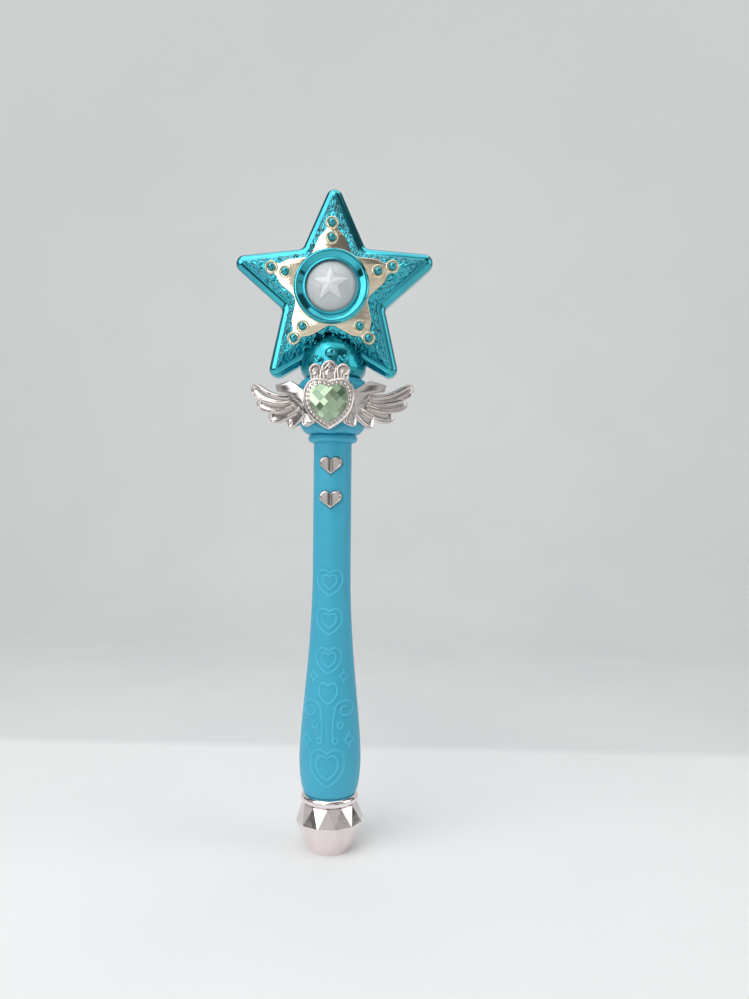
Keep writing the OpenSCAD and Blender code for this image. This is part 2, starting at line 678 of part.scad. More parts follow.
module star_front_shell() {
    // Distance from the outline and forward distance: seat, slope, ridge line, rounded bevel, side wall
    step_in = 0.6;
    outer = [
        [seat_inset, seat_f], [ridge_inset + step_in, ridge_f + step_in], [ridge_inset, ridge_f],
        [0.55 * ridge_inset, 0.9 * ridge_f], [0.18 * ridge_inset, 0.65 * ridge_f], [0, side_wall_h], [0, 0]
    ];
    inner = [
        [star_wall, 0], [star_wall, side_wall_h],
        [ridge_inset + 1.1 * star_wall, ridge_f - 0.4 * star_wall],
        [seat_inset + 0.6 * star_wall, seat_f - star_wall]
    ];
    color("turquoise") difference() {
        union() {
            skin([0, -seat_f, star_z], [for (p = concat(outer, inner)) star_ring(p[0], p[1])],
                [0, star_wall - seat_f, star_z]);
            for (k = [0:4]) let (p = arm(k, star_screw_rho))
                pin(p[0], p[1], 0, seat_f - star_wall / 2, boss_r);
        }
        pin(0, star_z, 0, far, light_hole_r);
        for (k = [0:4]) let (p = arm(k, star_screw_rho))
            pin(p[0], p[1], -1, star_screw_len - star_screw_f + 0.5, shank_hole_r);
        translate([0, 0, star_flange_z - far]) cylinder(h = far, r = stem_hole_r);
    }
}

module star_rear_shell() {
    steps = 5;
    hollow = back_depth - star_wall;
    outer = [for (i = [steps:-1:0]) let (t = 90 * i / steps)
        [back_round * (1 - cos(t)), side_wall_h + (back_depth - side_wall_h) * sin(t)]];
    inner_round = back_round - star_wall;
    inner = [for (i = [0:steps]) let (t = 90 * i / steps)
        [star_wall + inner_round * (1 - cos(t)), side_wall_h + (hollow - side_wall_h) * sin(t)]];
    rings = concat(outer, [[0, 0], [star_wall, 0]], inner);
    color("turquoise") difference() {
        union() {
            front() skin([0, -back_depth, star_z], [for (p = rings) star_ring(p[0], p[1])],
                [0, -hollow, star_z]);
            for (k = [0:4]) let (p = arm(k, star_screw_rho))
                pin(p[0], p[1], star_wall / 2 - back_depth, 0, boss_r);
            for (s = [-1, 1])
                pin(s * led_post_x, star_z, star_wall / 2 - back_depth, led_board_f - seat, led_post_r);
        }
        for (k = [0:4]) let (p = arm(k, star_screw_rho)) {
            pin(p[0], p[1], -far, 1, shank_hole_r);
            pin(p[0], p[1], -far, -star_screw_f, head_hole_r);
        }
        translate([0, 0, star_flange_z - far]) cylinder(h = far, r = stem_hole_r);
    }
}

module star_screws() {
    color("silver") for (k = [0:4]) let (p = arm(k, star_screw_rho))
        screw(p[0], star_screw_f, p[1], star_screw_len);
}

module gold_star_plate() {
    bezel_r = gem_r + seat + bezel_w;
    waist = 0.85 * bezel_r;
    shoulder_rho = gem_inner_rho + 1;
    half = (star_sharp_r - seat_inset / sin(star_half_angle) - shoulder_rho) * tan(star_half_angle);
    color("burlywood") difference() {
        union() {
            translate([0, 0, star_z]) face(seat_f + seat, plate_f) {
                intersection() {
                    polygon(star_outline(seat_inset + seat));
                    circle(r = shoulder_rho);
                }
                for (k = [0:4]) rotate(72 * k) polygon([[-half, shoulder_rho - 1], [half, shoulder_rho - 1],
                    [waist, gem_outer_rho - bezel_r], [waist, gem_outer_rho], [-waist, gem_outer_rho],
                    [-waist, gem_outer_rho - bezel_r]]);
            }
            for (k = [0:4]) for (rho = [gem_inner_rho, gem_outer_rho]) let (p = arm(k, rho))
                pin(p[0], p[1], seat_f + seat, plate_f + bezel_h, bezel_r);
        }
        pin(0, star_z, 0, far, lens_rim_r + seat);
        for (k = [0:4]) for (rho = [gem_inner_rho, gem_outer_rho]) let (p = arm(k, rho))
            pin(p[0], p[1], 0, far, gem_r + seat);
    }
}

module star_gems() {
    color("teal") for (k = [0:4]) for (rho = [gem_inner_rho, gem_outer_rho]) let (p = arm(k, rho))
        translate([p[0], -seat_f - seat, p[1]]) rotate([90, 0, 0]) union() {
            cylinder(h = plate_t + bezel_h / 2, r = gem_r);
            intersection() {
                translate([0, 0, plate_t + bezel_h / 2]) sphere(r = gem_r);
                cylinder(h = far, r = 2 * gem_r);
            }
        }
}

module lens_ring() {
    hole_r = lens_r + seat;
    crest_r = ring_r - 1.2;
    crest_w = 0.6;
    bead_w = 1;
    bead_top = 0.75 * ring_h;
    edge = 0.2;
    // The face slopes in from the outer crest to a thin bead next to the dome
    profile = [
        [hole_r, 0], [ring_r - edge, 0], [ring_r, edge], [ring_r, 0.7 * ring_h], [crest_r, ring_h],
        [crest_r - crest_w, ring_h], [hole_r + bead_w, 0.55 * ring_h], [hole_r + bead_w - edge, bead_top],
        [hole_r + edge, bead_top], [hole_r, bead_top - edge]
    ];
    color("darkturquoise") translate([0, -plate_f - seat, star_z]) rotate([90, 0, 0])
        rotate_extrude() polygon(profile);
}

module lens_dome() {
    ball_r = (lens_r * lens_r + lens_rise * lens_rise) / (2 * lens_rise);
    centre = plate_t + lens_rise - ball_r;
    ridge = 0.9;
    notch_share = 0.4;
    steps = 4;
    spokes = [for (i = [0:9]) 90 + 36 * i];
    // Star rings: on a point's spoke they stand proud of the dome, between the points they sink into it
    rings = [for (j = [1:steps]) [for (i = [0:9])
        let (t = j / steps, rho = t * lens_star_r * (i % 2 == 0 ? 1 : notch_share),
            lift = i % 2 == 0 ? ridge * (1 - 1.3 * t * t) : -0.3 * t)
        [rho * cos(spokes[i]), rho * sin(spokes[i]), centre + sqrt(ball_r * ball_r - rho * rho) + lift]]];
    color("whitesmoke") translate([0, -seat_f - seat, star_z]) rotate([90, 0, 0]) union() {
        difference() {
            union() {
                cylinder(h = plate_t, r = lens_rim_r);
                intersection() {
                    translate([0, 0, centre]) sphere(r = ball_r);
                    cylinder(h = far, r = lens_r);
                }
            }
            intersection() {
                translate([0, 0, centre]) sphere(r = ball_r - lens_wall);
                translate([0, 0, -1]) cylinder(h = far, r = light_hole_r);
            }
        }
        skin([0, 0, centre + ball_r + ridge], rings, [0, 0, centre + ball_r - lens_wall / 2]);
    }
}

module led_board() {
    color("seagreen") pin(0, star_z, led_board_f, led_f, led_board_r);
}

module star_led() {
    color("white") union() {
        pin(0, star_z, led_f + seat, led_f + 1, led_r + led_flange);
        pin(0, star_z, led_f + seat, led_f + led_body_h, led_r);
        translate([0, -led_f - led_body_h, star_z]) sphere(r = led_r);
    }
}

// One wing in its own plane, standing on it
module wing() {
    for (k = [0:len(feathers) - 1])
        linear_extrude(crest_t + feather_layer * (len(feathers) - k)) polygon(feather(feathers[k]));
    linear_extrude(crest_t + feather_layer * (len(feathers) + 2)) polygon(shoulder);
    linear_extrude(crest_t) polygon(wing_root);
}

// A round lobe on a straight stem
module crown_lobe(x, r, top) {
    stem_half = 0.8 * r;
    translate([x, top - r]) circle(r = r);
    translate([x - stem_half, 0]) square([2 * stem_half, top - r]);
}

module crest_wings() {
    crown_z = crest_z + heart_h / 2;
    band_h = 5;
    color("silver") difference() {
        union() {
            translate([0, 0, crest_z]) face(crest_f, crest_f + crest_t)
                translate([-wing_root_x - join, -root_low])
                    square([2 * (wing_root_x + join), root_low + heart_h / 2]);
            translate([0, 0, crown_z]) face(crest_f, crest_f + 2 * crest_t) {
                crown_lobe(0, crown_r, crown_h);
                for (s = [-1, 1])
                    crown_lobe(s * crown_pitch, crown_side_r, crown_side_h);
                translate([-crown_pitch - 1, -band_h / 2]) square([2 * crown_pitch + 2, band_h]);
            }
            for (side = [0, 1]) mirror([side, 0, 0])
                translate([wing_root_x, -crest_f, crest_z]) rotate([90, 0, wing_sweep]) wing();
            for (s = [-1, 1]) pin(s * crest_pin_x, crest_z, hub_in - 5, crest_f + join, crest_pin_r);
        }
        translate([0, 0, crest_z]) face(crest_f + crest_t, far)
            polygon(full_heart(heart_w, heart_h, frame_dip, play));
    }
}

module heart_frame() {
    color("silver") translate([0, 0, crest_z]) difference() {
        face(heart_f, heart_f + heart_d) polygon(full_heart(heart_w, heart_h, frame_dip, 0));
        translate([0, 0, stone_up]) face(stone_f, far)
            polygon(full_heart(stone_w, stone_h, stone_dip, seat));
    }
}

module heart_gem() {
    z = crest_z + stone_up;
    girdle_f = heart_f + heart_d;
    top_f = girdle_f + stone_rise;
    // Cut stone: straight girdle, two rows of facets and a small table
    rows = [
        [0.45, top_f - 0.1 * stone_rise], [0.78, girdle_f + 0.6 * stone_rise], [1, girdle_f - 0.5],
        [1, stone_f + seat]
    ];
    outline = full_heart(stone_w, stone_h, stone_dip, 0);
    rings = [for (q = rows) [for (p = outline) [q[0] * p[0], -q[1], z + q[0] * p[1]]]];
    color("darkseagreen") skin([0, -top_f, z], rings, [0, -stone_f - seat, z]);
}

module button(z) {
    face_f = grip_r + button_proud;
    flange_h = button_h + 2 * (play + button_flange_w);
    color("silver") translate([0, 0, z]) union() {
        face(flange_f - join, face_f) polygon(heart(button_w, button_h, 0));
        face(flange_f - flange_t, flange_f) square([2 * flange_half, flange_h], center = true);
        pin(0, 0, flange_f - flange_t - plunger_l, flange_f - flange_t + join, plunger_r);
    }
}
module button_upper() button(button_z[0]);
module button_lower() button(button_z[1]);

module switch_stem(z) {
    stem_f = flange_f - flange_t - plunger_l - seat;
    color("dimgray") pin(0, z, switch_f - stem_in, stem_f, plunger_r);
}
module switch_stem_upper() switch_stem(button_z[0]);
module switch_stem_lower() switch_stem(button_z[1]);

module switch_body(z) {
    color("slategray") difference() {
        translate([0, 0, z]) face(board_f, switch_f) square(switch_w, center = true);
        pin(0, z, switch_f - stem_in - button_travel - 0.3, far, plunger_r + seat);
    }
}
module switch_upper() switch_body(button_z[0]);
module switch_lower() switch_body(button_z[1]);

module main_board() {
    color("seagreen") translate([-board_w / 2, board_y, board_low])
        cube([board_w, board_t, board_top - board_low]);
}

module sound_chip() {
    middle = (button_z[0] + button_z[1]) / 2;
    color("black") pin(0, middle, -board_y - board_t - seat - chip_h, -board_y - board_t - seat, chip_r);
}

module speaker() {
    color("dimgray") union() {
        pin(0, speaker_z, -speaker_y + seat, -speaker_y + 1.5, speaker_r);
        pin(0, speaker_z, -speaker_y + seat, -speaker_y + speaker_d, 0.75 * speaker_r);
    }
}

module battery_cells() {
    color("goldenrod") for (s = [0, 1])
        translate([(1 - 2 * s) * cell_x, 0, cell_z + cell_l / 2]) mirror([0, 0, s]) union() {
            translate([0, 0, -cell_l / 2]) cylinder(h = cell_l - nub_h, r = cell_r);
            cylinder(h = cell_l / 2, r = nub_r);
        }
}

module battery_contacts() {
    reach = cell_x + contact_w / 2;
    color("silver") {
        translate([-reach, -contact_w / 2, floor_z + seat]) cube([2 * reach, contact_w, contact_t]);
        for (s = [-1, 1]) translate([s * cell_x, 0, 0]) union() {
            translate([-contact_w / 2, -contact_w / 2, upper_contact_z])
                cube([contact_w, contact_w, contact_t]);
            translate([s * (tail_x - cell_x) - tail_w / 2, tail_y - contact_t / 2, upper_contact_z])
                cube([tail_w, contact_t, bay_top_z + 1 - upper_contact_z]);
        }
    }
}

module battery_door() {
    color("skyblue") difference() {
        union() {
            intersection() {
                shell_half();
                door_panel(0);
            }
            intersection() {
                grip_half();
                pin(0, door_screw_z, -far, -door_pad_y - seat, door_boss_r);
            }
        }
        pin(0, door_screw_z, -far, 0, shank_hole_r);
        pin(0, door_screw_z, -far, -door_seat_y, head_hole_r);
    }
}

module battery_door_screw() {
    color("silver") screw(0, door_seat_y + seat, door_screw_z, door_screw_len);
}

module led_lead() color("white") lead(led_route);
module battery_lead() {
    color("firebrick") for (s = [-1, 1]) lead([for (p = battery_route) [s * p[0], p[1], p[2]]]);
}
module speaker_lead() color("gold") lead(speaker_route);

end_cap();
handle_front_shell();
handle_rear_shell();
handle_screws();
neck_socket();
star_front_shell();
star_rear_shell();
star_screws();
gold_star_plate();
star_gems();
lens_ring();
lens_dome();
led_board();
star_led();
crest_wings();
heart_frame();
heart_gem();
button_upper();
button_lower();
switch_stem_upper();
switch_stem_lower();
switch_upper();
switch_lower();
main_board();
sound_chip();
speaker();
battery_cells();
battery_contacts();
battery_door();
battery_door_screw();
led_lead();
battery_lead();
speaker_lead();
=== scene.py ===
import json
import math

import bmesh
import bpy
import numpy as np
from mathutils import Matrix, Vector, noise


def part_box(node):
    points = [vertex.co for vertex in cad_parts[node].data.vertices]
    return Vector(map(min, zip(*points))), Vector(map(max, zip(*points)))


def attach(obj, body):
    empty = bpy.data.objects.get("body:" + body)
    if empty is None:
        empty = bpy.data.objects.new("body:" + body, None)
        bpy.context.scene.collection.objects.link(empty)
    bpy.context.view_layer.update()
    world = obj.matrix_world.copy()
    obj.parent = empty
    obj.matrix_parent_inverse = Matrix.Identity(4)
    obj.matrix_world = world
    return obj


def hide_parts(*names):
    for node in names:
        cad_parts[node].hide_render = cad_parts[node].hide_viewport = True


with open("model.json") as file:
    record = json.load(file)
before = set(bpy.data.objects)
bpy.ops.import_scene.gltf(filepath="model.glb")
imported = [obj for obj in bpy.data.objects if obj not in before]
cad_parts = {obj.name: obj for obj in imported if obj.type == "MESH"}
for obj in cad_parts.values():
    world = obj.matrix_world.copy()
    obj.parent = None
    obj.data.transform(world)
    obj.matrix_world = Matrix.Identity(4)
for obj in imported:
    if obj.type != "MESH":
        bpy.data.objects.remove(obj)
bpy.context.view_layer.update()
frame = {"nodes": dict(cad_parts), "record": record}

# Shapes are worked out in millimetres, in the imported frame: X to the right, Z up, the front faces -Y.
# "Forward" is the distance from the wand's axis towards the front.
MM = 0.001
HANDLE = "wand"


def span(node):
    """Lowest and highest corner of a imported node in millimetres."""
    low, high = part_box(node)
    return np.array(low) / MM, np.array(high) / MM


def middle(node):
    low, high = span(node)
    return (low + high) / 2


# Star: outline and the insets and forward distances of its steps
STAR_Z = middle("led_board")[2]
STAR_SHARP_R = 60.0
STAR_HALF_ANGLE = math.radians(23.6)
TIP_ROUND = 4.5
NOTCH_ROUND = 3.5
NOTCH_GROWTH = 0.3
SMALLEST_ROUND = 0.6
SIDE_DIST = STAR_SHARP_R * math.sin(STAR_HALF_ANGLE)
NOTCH_ANGLE = math.radians(54) - STAR_HALF_ANGLE
SIDE_WALL_H = 1.6
STAR_WALL = 1.6
RIDGE_INSET, RIDGE_F = 3.75, 5.5
SEAT_INSET = 8.0
SEAT_F = -span("star_front_shell")[0][1]
PLATE_F = -span("lens_ring")[1][1]
LIGHT_HOLE_R = 12.0
BACK_DEPTH = span("star_rear_shell")[1][1]
BACK_ROUND = 10.0
STAR_SCREW_RHO = 33.0
STAR_SCREW_Y = 5.5
HEAD_HOLE_R = 2.35
SHANK_HOLE_R = 1.05
BOSS_R = HEAD_HOLE_R + 0.95

# Trim and light
GEM_R = 2.3
GEM_RHOS = (24.6, 32.0)
GEM_SEAT_F = -span("star_gems")[1][1]
BEZEL_R = 3.35
BEZEL_TOP_F = -span("gold_star_plate")[0][1]
RING_R = span("lens_ring")[1][0]
RING_TOP_F = -span("lens_ring")[0][1]
LENS_R = 13.0
LENS_RIM_R = span("lens_dome")[1][0]
LENS_RISE = 6.5
LENS_STAR_R = 9.7
LENS_NOTCH = 0.42
LENS_RIDGE = 0.9
LENS_STEP_W = 0.4

# Neck bulb
HUB_TOP_Z = span("handle_front_shell")[1][2]
NECK_WIDE_Z = HUB_TOP_Z + 5.4
NECK_R = span("neck_socket")[1][0]
NECK_FOOT_R = 14.2
NECK_DOME_H = 19.5
NECK_BALL_R = 3.0
NECK_BALL_Z = 252.8
NECK_CURL_R, NECK_CURL_Z = 2.0, 250.4

# Crest
CREST_Z = middle("heart_frame")[2]
CREST_F = 18.55
HEART_W, HEART_H = span("heart_frame")[1][[0, 2]] - span("heart_frame")[0][[0, 2]]
HEART_BACK_F = -span("heart_frame")[1][1]
HEART_FRONT_F = -span("heart_frame")[0][1]
STONE_Z = middle("heart_gem")[2]
STONE_W, STONE_H = span("heart_gem")[1][[0, 2]] - span("heart_gem")[0][[0, 2]]
STONE_TOP_F = -span("heart_gem")[0][1]
CREST_T = 1.6
WING_ROOT_X = 10.0
WING_SWEEP = math.radians(28)
FEATHER_HALF = 3.75
CROWN_Z = CREST_Z + HEART_H / 2

# Grip and cap
CAP_H = span("end_cap")[1][2]
CAP_FACET_H = 24.4
CAP_RINGS = ((11.2, 0.0), (17.6, 15.3), (14.0, CAP_FACET_H))
CAP_LIP_R = 14.9
CAP_SIDES = 12
CAP_BORE_R = 10.55
GRIP_FOOT_R, BULGE_R, GRIP_R = 12.7, 15.85, 9.8
BULGE_RISE, TAPER_LEN, TAPER_BIAS = 19.0, 97.0, 0.75
BULGE_Z = CAP_H + BULGE_RISE
HUB_R = 18.5


class Wire:
    """One socket of a node tree. Arithmetic on wires adds Math nodes to the tree."""

    def __init__(self, finish, socket):
        self.finish = finish
        self.socket = socket

    def math(self, operation, a, b):
        return self.finish.add("ShaderNodeMath", {"operation": operation}, {0: a, 1: b})

    def __add__(self, other):
        return self.math("ADD", self, other)

    def __sub__(self, other):
        return self.math("SUBTRACT", self, other)

    def __rsub__(self, other):
        return self.math("SUBTRACT", other, self)

    def __mul__(self, other):
        return self.math("MULTIPLY", self, other)

    __radd__ = __add__
    __rmul__ = __mul__

    def above(self, low, high):
        """0 below low, 1 above high, smooth between."""
        return self.finish.add(
            "ShaderNodeMapRange",
            {"interpolation_type": "SMOOTHSTEP"},
            {"Value": self, "From Min": low, "From Max": high},
        )


class Finish:
    """A node tree of a material, round one Principled shader, or of the world."""

    def __init__(self, owner):
        owner.use_nodes = True
        self.owner = owner
        self.tree = owner.node_tree
        self.tree.nodes.clear()

    def add(self, kind, settings=None, sockets=None, output=0):
        node = self.tree.nodes.new(kind)
        for key, value in (settings or {}).items():
            setattr(node, key, value)
        for key, value in (sockets or {}).items():
            self.feed(node.inputs[key], value)
        return Wire(self, node.outputs[output]) if node.outputs else None

    def feed(self, socket, value):
        if isinstance(value, Wire):
            self.tree.links.new(value.socket, socket)
        else:
            socket.default_value = value

    def blend(self, factor, a, b):
        return self.add("ShaderNodeMix", {"data_type": "RGBA"}, {0: factor, 6: a, 7: b}, output=2)

    def where(self):
        return self.add("ShaderNodeTexCoord", output=3)

    def part(self, vector, axis):
        """One coordinate of a vector; 0, 1 and 2 are X, Y and Z."""
        return self.add("ShaderNodeSeparateXYZ", {}, {0: vector}, output=axis)

    def painted(self, name):
        """A tone that the mesh carries on its faces or points."""
        return self.add("ShaderNodeAttribute", {"attribute_name": name}, output=2)

    def seen(self):
        """1 for what the eye, metal and glass see, 0 for what only lights the wand."""
        kinds = ("Is Camera Ray", "Is Glossy Ray", "Is Transmission Ray")
        eye, metal, glass = (self.add("ShaderNodeLightPath", output=kind) for kind in kinds)
        return eye + metal + glass

    def clouds(self, size, detail=3.0, roughness=0.55):
        """Soft noise with blots about size millimetres across."""
        sockets = {"Vector": self.where(), "Scale": 1 / (size * MM), "Detail": detail, "Roughness": roughness}
        return self.add("ShaderNodeTexNoise", {}, sockets)

    def bump(self, height, distance, strength=1.0):
        """Normal of a height of 0 to 1 that stands for distance millimetres."""
        sockets = {"Height": height, "Distance": distance * MM, "Strength": strength}
        return self.add("ShaderNodeBump", {}, sockets)

    def surface(self, **sockets):
        """Ends a material with a Principled shader; an underscore in a name stands for a space."""
        named = {key.replace("_", " "): value for key, value in sockets.items()}
        shader = self.add("ShaderNodeBsdfPrincipled", {}, named)
        self.add("ShaderNodeOutputMaterial", {}, {"Surface": shader})
        return self.owner

    def mix_in(self, factor, other):
        """Mixes a second shader into a material that has its surface."""
        end = next(node for node in self.tree.nodes if node.type == "OUTPUT_MATERIAL").inputs[0]
        own = Wire(self, end.links[0].from_socket)
        self.feed(end, self.add("ShaderNodeMixShader", {}, {0: factor, 1: own, 2: other}))


def new_finish(name):
    return Finish(bpy.data.materials.new(name))


def shade(colour, share):
    return tuple(c * share for c in colour[:3]) + (1.0,)


def plated(name, colour, deep, roughness, peel=0.012, coat=0.0, facets=False):
    """Vacuum plating on moulded plastic: a mirror with a faint orange peel, haze and finger smudges."""
    f = new_finish(name)
    haze = f.clouds(14).above(0.35, 0.7)
    smudge = f.clouds(5, 5).above(0.5, 0.75)
    ripple = f.clouds(2.2, 2)
    colour = f.blend(haze, colour, deep)
    # With facets, a painted reflection: each face's stored tone darkens the colour towards a deeper shade.
    if facets:
        colour = f.blend(f.painted("painted_reflection_tone"), shade(deep, 0.6), colour)
    return f.surface(
        Base_Color=colour,
        Metallic=1.0,
        Roughness=roughness + 0.05 * smudge + 0.03 * haze,
        Normal=f.bump(ripple, peel),
        Coat_Weight=coat,
        Coat_Roughness=0.04,
    )


def grip_plastic(name, light, dark):
    """Light blue moulded plastic with a fine satin texture."""
    f = new_finish(name)
    tone = f.clouds(30, 2).above(0.3, 0.7)
    grain = f.clouds(0.35, 2)
    rub = f.clouds(9, 4).above(0.45, 0.75)
    return f.surface(
        Base_Color=f.blend(tone, light, dark),
        Roughness=0.40 - 0.07 * rub + 0.06 * grain,
        Normal=f.bump(grain, 0.012),
        Subsurface_Weight=0.08,
        Subsurface_Radius=(0.4, 0.9, 1.0),
        Subsurface_Scale=0.0012,
    )


def frosted_lens():
    """Milky plastic that the lamp shines through."""
    f = new_finish("frosted_lens")
    cloud = f.clouds(6, 3).above(0.3, 0.7)
    milk = f.blend(cloud, (0.61, 0.63, 0.64, 1), (0.56, 0.58, 0.59, 1))
    grain = f.clouds(0.5, 2)
    return f.surface(
        Base_Color=f.blend(f.painted("ray_tone"), milk, (0.76, 0.77, 0.77, 1)),
        Roughness=0.30 + 0.08 * grain,
        Normal=f.bump(grain, 0.006),
        Subsurface_Weight=0.5,
        Subsurface_Radius=(1.0, 1.0, 1.0),
        Subsurface_Scale=0.0005,
        Coat_Weight=0.25,
        Coat_Roughness=0.15,
    )


def green_stone():
    """Clear green acrylic on foil: every facet carries a painted reflection, a tone of its own between deep and
    pale green.
    """
    f = new_finish("green_stone")
    streak = f.clouds(1.6, 3).above(0.35, 0.7)
    pale, deep = (0.62, 0.80, 0.52, 1), (0.07, 0.16, 0.10, 1)
    return f.surface(
        Base_Color=f.blend(f.painted("painted_reflection_tone") * (0.85 + 0.15 * streak), deep, pale),
        Metallic=0.55,
        Roughness=0.06 + 0.04 * streak,
        Coat_Weight=1.0,
        Coat_Roughness=0.02,
    )


def plain_finish(name, colour, roughness, metallic, size, depth):
    """Two close tones with a grain of the given size."""
    f = new_finish(name)
    tone = f.clouds(size, 4).above(0.35, 0.7)
    grain = f.clouds(size / 4, 2)
    return f.surface(
        Base_Color=f.blend(tone, colour + (1,), shade(colour, 0.72)),
        Metallic=metallic,
        Roughness=roughness + 0.12 * tone,
        Normal=f.bump(grain, depth),
    )


BLUE = (0.051, 0.440, 0.630, 1)
TEAL, TEAL_DEEP = (0.027, 0.46, 0.55, 1), (0.019, 0.37, 0.46, 1)
SILVER, SILVER_DEEP = (0.735, 0.685, 0.66, 1), (0.61, 0.565, 0.545, 1)
FINISHES = {
    "grip_plastic": grip_plastic("grip_plastic", BLUE, shade(BLUE, 0.94)),
    "star_plating": plated("star_plating", TEAL, TEAL_DEEP, 0.07, coat=0.9),
    "stud_plating": plated("stud_plating", shade(TEAL, 0.8), shade(TEAL, 0.6), 0.09, coat=0.9),
    "gold_plating": plated("gold_plating", (0.97, 0.85, 0.66, 1), (0.88, 0.75, 0.56, 1), 0.10, 0.05),
    "silver_plating": plated("silver_plating", SILVER, SILVER_DEEP, 0.11),
    "frosted_lens": frosted_lens(),
    "green_stone": green_stone(),
}
# Inner pieces: colour, roughness, metal, size and depth of the grain
PLAIN_FINISHES = {
    "screw_steel": ((0.56, 0.56, 0.58), 0.28, 1.0, 1.5, 0.01),
    "circuit_board": ((0.02, 0.19, 0.08), 0.35, 0.0, 3.0, 0.02),
    "lamp_clear": ((0.85, 0.87, 0.90), 0.08, 0.0, 2.0, 0.005),
    "switch_black": ((0.025, 0.025, 0.027), 0.45, 0.0, 0.8, 0.01),
    "switch_body": ((0.06, 0.06, 0.065), 0.40, 0.0, 1.2, 0.01),
    "chip_black": ((0.015, 0.015, 0.016), 0.25, 0.0, 2.5, 0.05),
    "speaker_black": ((0.03, 0.03, 0.032), 0.6, 0.0, 1.0, 0.03),
    "cell_can": ((0.62, 0.50, 0.20), 0.30, 0.6, 8.0, 0.01),
    "contact_steel": ((0.66, 0.65, 0.63), 0.22, 1.0, 1.0, 0.01),
    "lead_white": ((0.78, 0.78, 0.77), 0.5, 0.0, 1.5, 0.02),
    "lead_red": ((0.50, 0.03, 0.03), 0.5, 0.0, 1.5, 0.02),
    "lead_yellow": ((0.72, 0.50, 0.05), 0.5, 0.0, 1.5, 0.02),
}
FINISHES.update({name: plain_finish(name, *values) for name, values in PLAIN_FINISHES.items()})
# Raised lines of the grip, painted a little paler than the rest: a painted highlight
LINE_FINISH = grip_plastic("painted_highlight_plastic", (0.085, 0.545, 0.735, 1), (0.070, 0.515, 0.715, 1))
# The bulb's teal is painted darker than the star's: painted shade for the dark junction under the star.
NECK_FINISH = plated("neck_plating_painted_shade", shade(TEAL, 0.85), shade(TEAL, 0.72), 0.20, 0.01, 0.4)
CAP_FINISH = plated("cap_plating", (0.93, 0.85, 0.84, 1), (0.88, 0.80, 0.79, 1), 0.06, 0.02)
# Cap facets: the pale plating with painted reflections, each facet darkened by its own stored tone.
FACET_FINISH = plated("facet_plating_painted_reflection", (0.95, 0.865, 0.855, 1), (0.90, 0.81, 0.80, 1), 0.06, 0.02,
                      facets=True)


# Mesh tools. A shape is a pair: an array of points in millimetres and a list of faces.


def unit(vectors):
    return vectors / np.linalg.norm(vectors, axis=1)[:, None]


def distance_along(line):
    """Distance of every point of a line from its start."""
    return np.concatenate([[0], np.cumsum(np.linalg.norm(np.diff(line, axis=0), axis=1))])


def blots(x, y, z):
    """Smooth noise between about -1 and 1."""
    return noise.noise(Vector((x, y, z)))


def loft(rings, ring_closed=True, ends_joined=False, caps=False):
    """Skin over rings of equal length."""
    rings = np.asarray(rings, float)
    m, n = rings.shape[:2]
    faces = []
    for j in range(m if ends_joined else m - 1):
        low, high = j * n, (j + 1) % m * n
        for i in range(n if ring_closed else n - 1):
            k = (i + 1) % n
            faces.append((low + i, low + k, high + k, high + i))
    if caps:
        faces += [tuple(range(n)), tuple(range((m - 1) * n, m * n))]
    return rings.reshape(-1, 3), faces


def joined(shapes):
    points, faces, start = [], [], 0
    for p, f in shapes:
        points.append(p)
        faces += [tuple(i + start for i in face) for face in f]
        start += len(p)
    return np.vstack(points), faces


def shape_of(form):
    """The shape of a bmesh that is no longer needed."""
    form.verts.index_update()
    shape = np.array([v.co for v in form.verts]), [tuple(v.index for v in f.verts) for f in form.faces]
    form.free()
    return shape


def direction(angle):
    return np.array([math.cos(angle), math.sin(angle)])


def circle(turn, radius):
    """Points of a circle at the given angles."""
    return np.stack([radius * np.cos(turn), radius * np.sin(turn)], -1)


def full_turn(steps):
    return np.linspace(0, 2 * math.pi, steps, endpoint=False)


def forward_of(x, z):
    """Places (a, b, height) on an axis that points forward through (x, z)."""
    return lambda a, b, h: np.stack([x + a, -h + 0 * a, z + b], -1)


def upright(a, b, h):
    return np.stack([a, b, h + 0 * a], -1)


def turned(profile, place, steps=96, caps=False):
    """A profile of (radius, height) turned round its axis."""
    angle = full_turn(steps)
    return loft([place(*circle(angle, r).T, h) for r, h in profile], caps=caps)


def rounded(path, radius, steps=5):
    """An open path of flat points with its inner corners rounded."""
    path = [np.array(p, float) for p in path]
    out = [path[0]]
    for before, corner, after in zip(path, path[1:], path[2:]):
        a, b = before - corner, after - corner
        reach = min(radius, 0.45 * np.linalg.norm(a), 0.45 * np.linalg.norm(b))
        start = corner + a / np.linalg.norm(a) * reach
        end = corner + b / np.linalg.norm(b) * reach
        out += list(bent([start, corner, end], np.linspace(0, 1, steps)[:, None]))
    out.append(path[-1])
    return np.array(out)


LOOP_POINTS = 120


def rounded_loop(path, passes=2):
    """A closed path with its corners softened: evenly spaced points, then corners cut over and over."""
    path = resampled(path, LOOP_POINTS, closed=True)
    for _ in range(passes):
        after = np.roll(path, -1, axis=0)
        path = np.stack([0.75 * path + 0.25 * after, 0.25 * path + 0.75 * after], 1)
        path = path.reshape(-1, path.shape[-1])
    return path


def resampled(path, count, closed=False):
    """The same path with evenly spaced points."""
    path = np.asarray(path, float)
    line = np.vstack([path, path[:1]]) if closed else path
    along = distance_along(line)
    places = np.linspace(0, along[-1], count, endpoint=not closed)
    return np.stack([np.interp(places, along, line[:, k]) for k in range(line.shape[1])], 1)


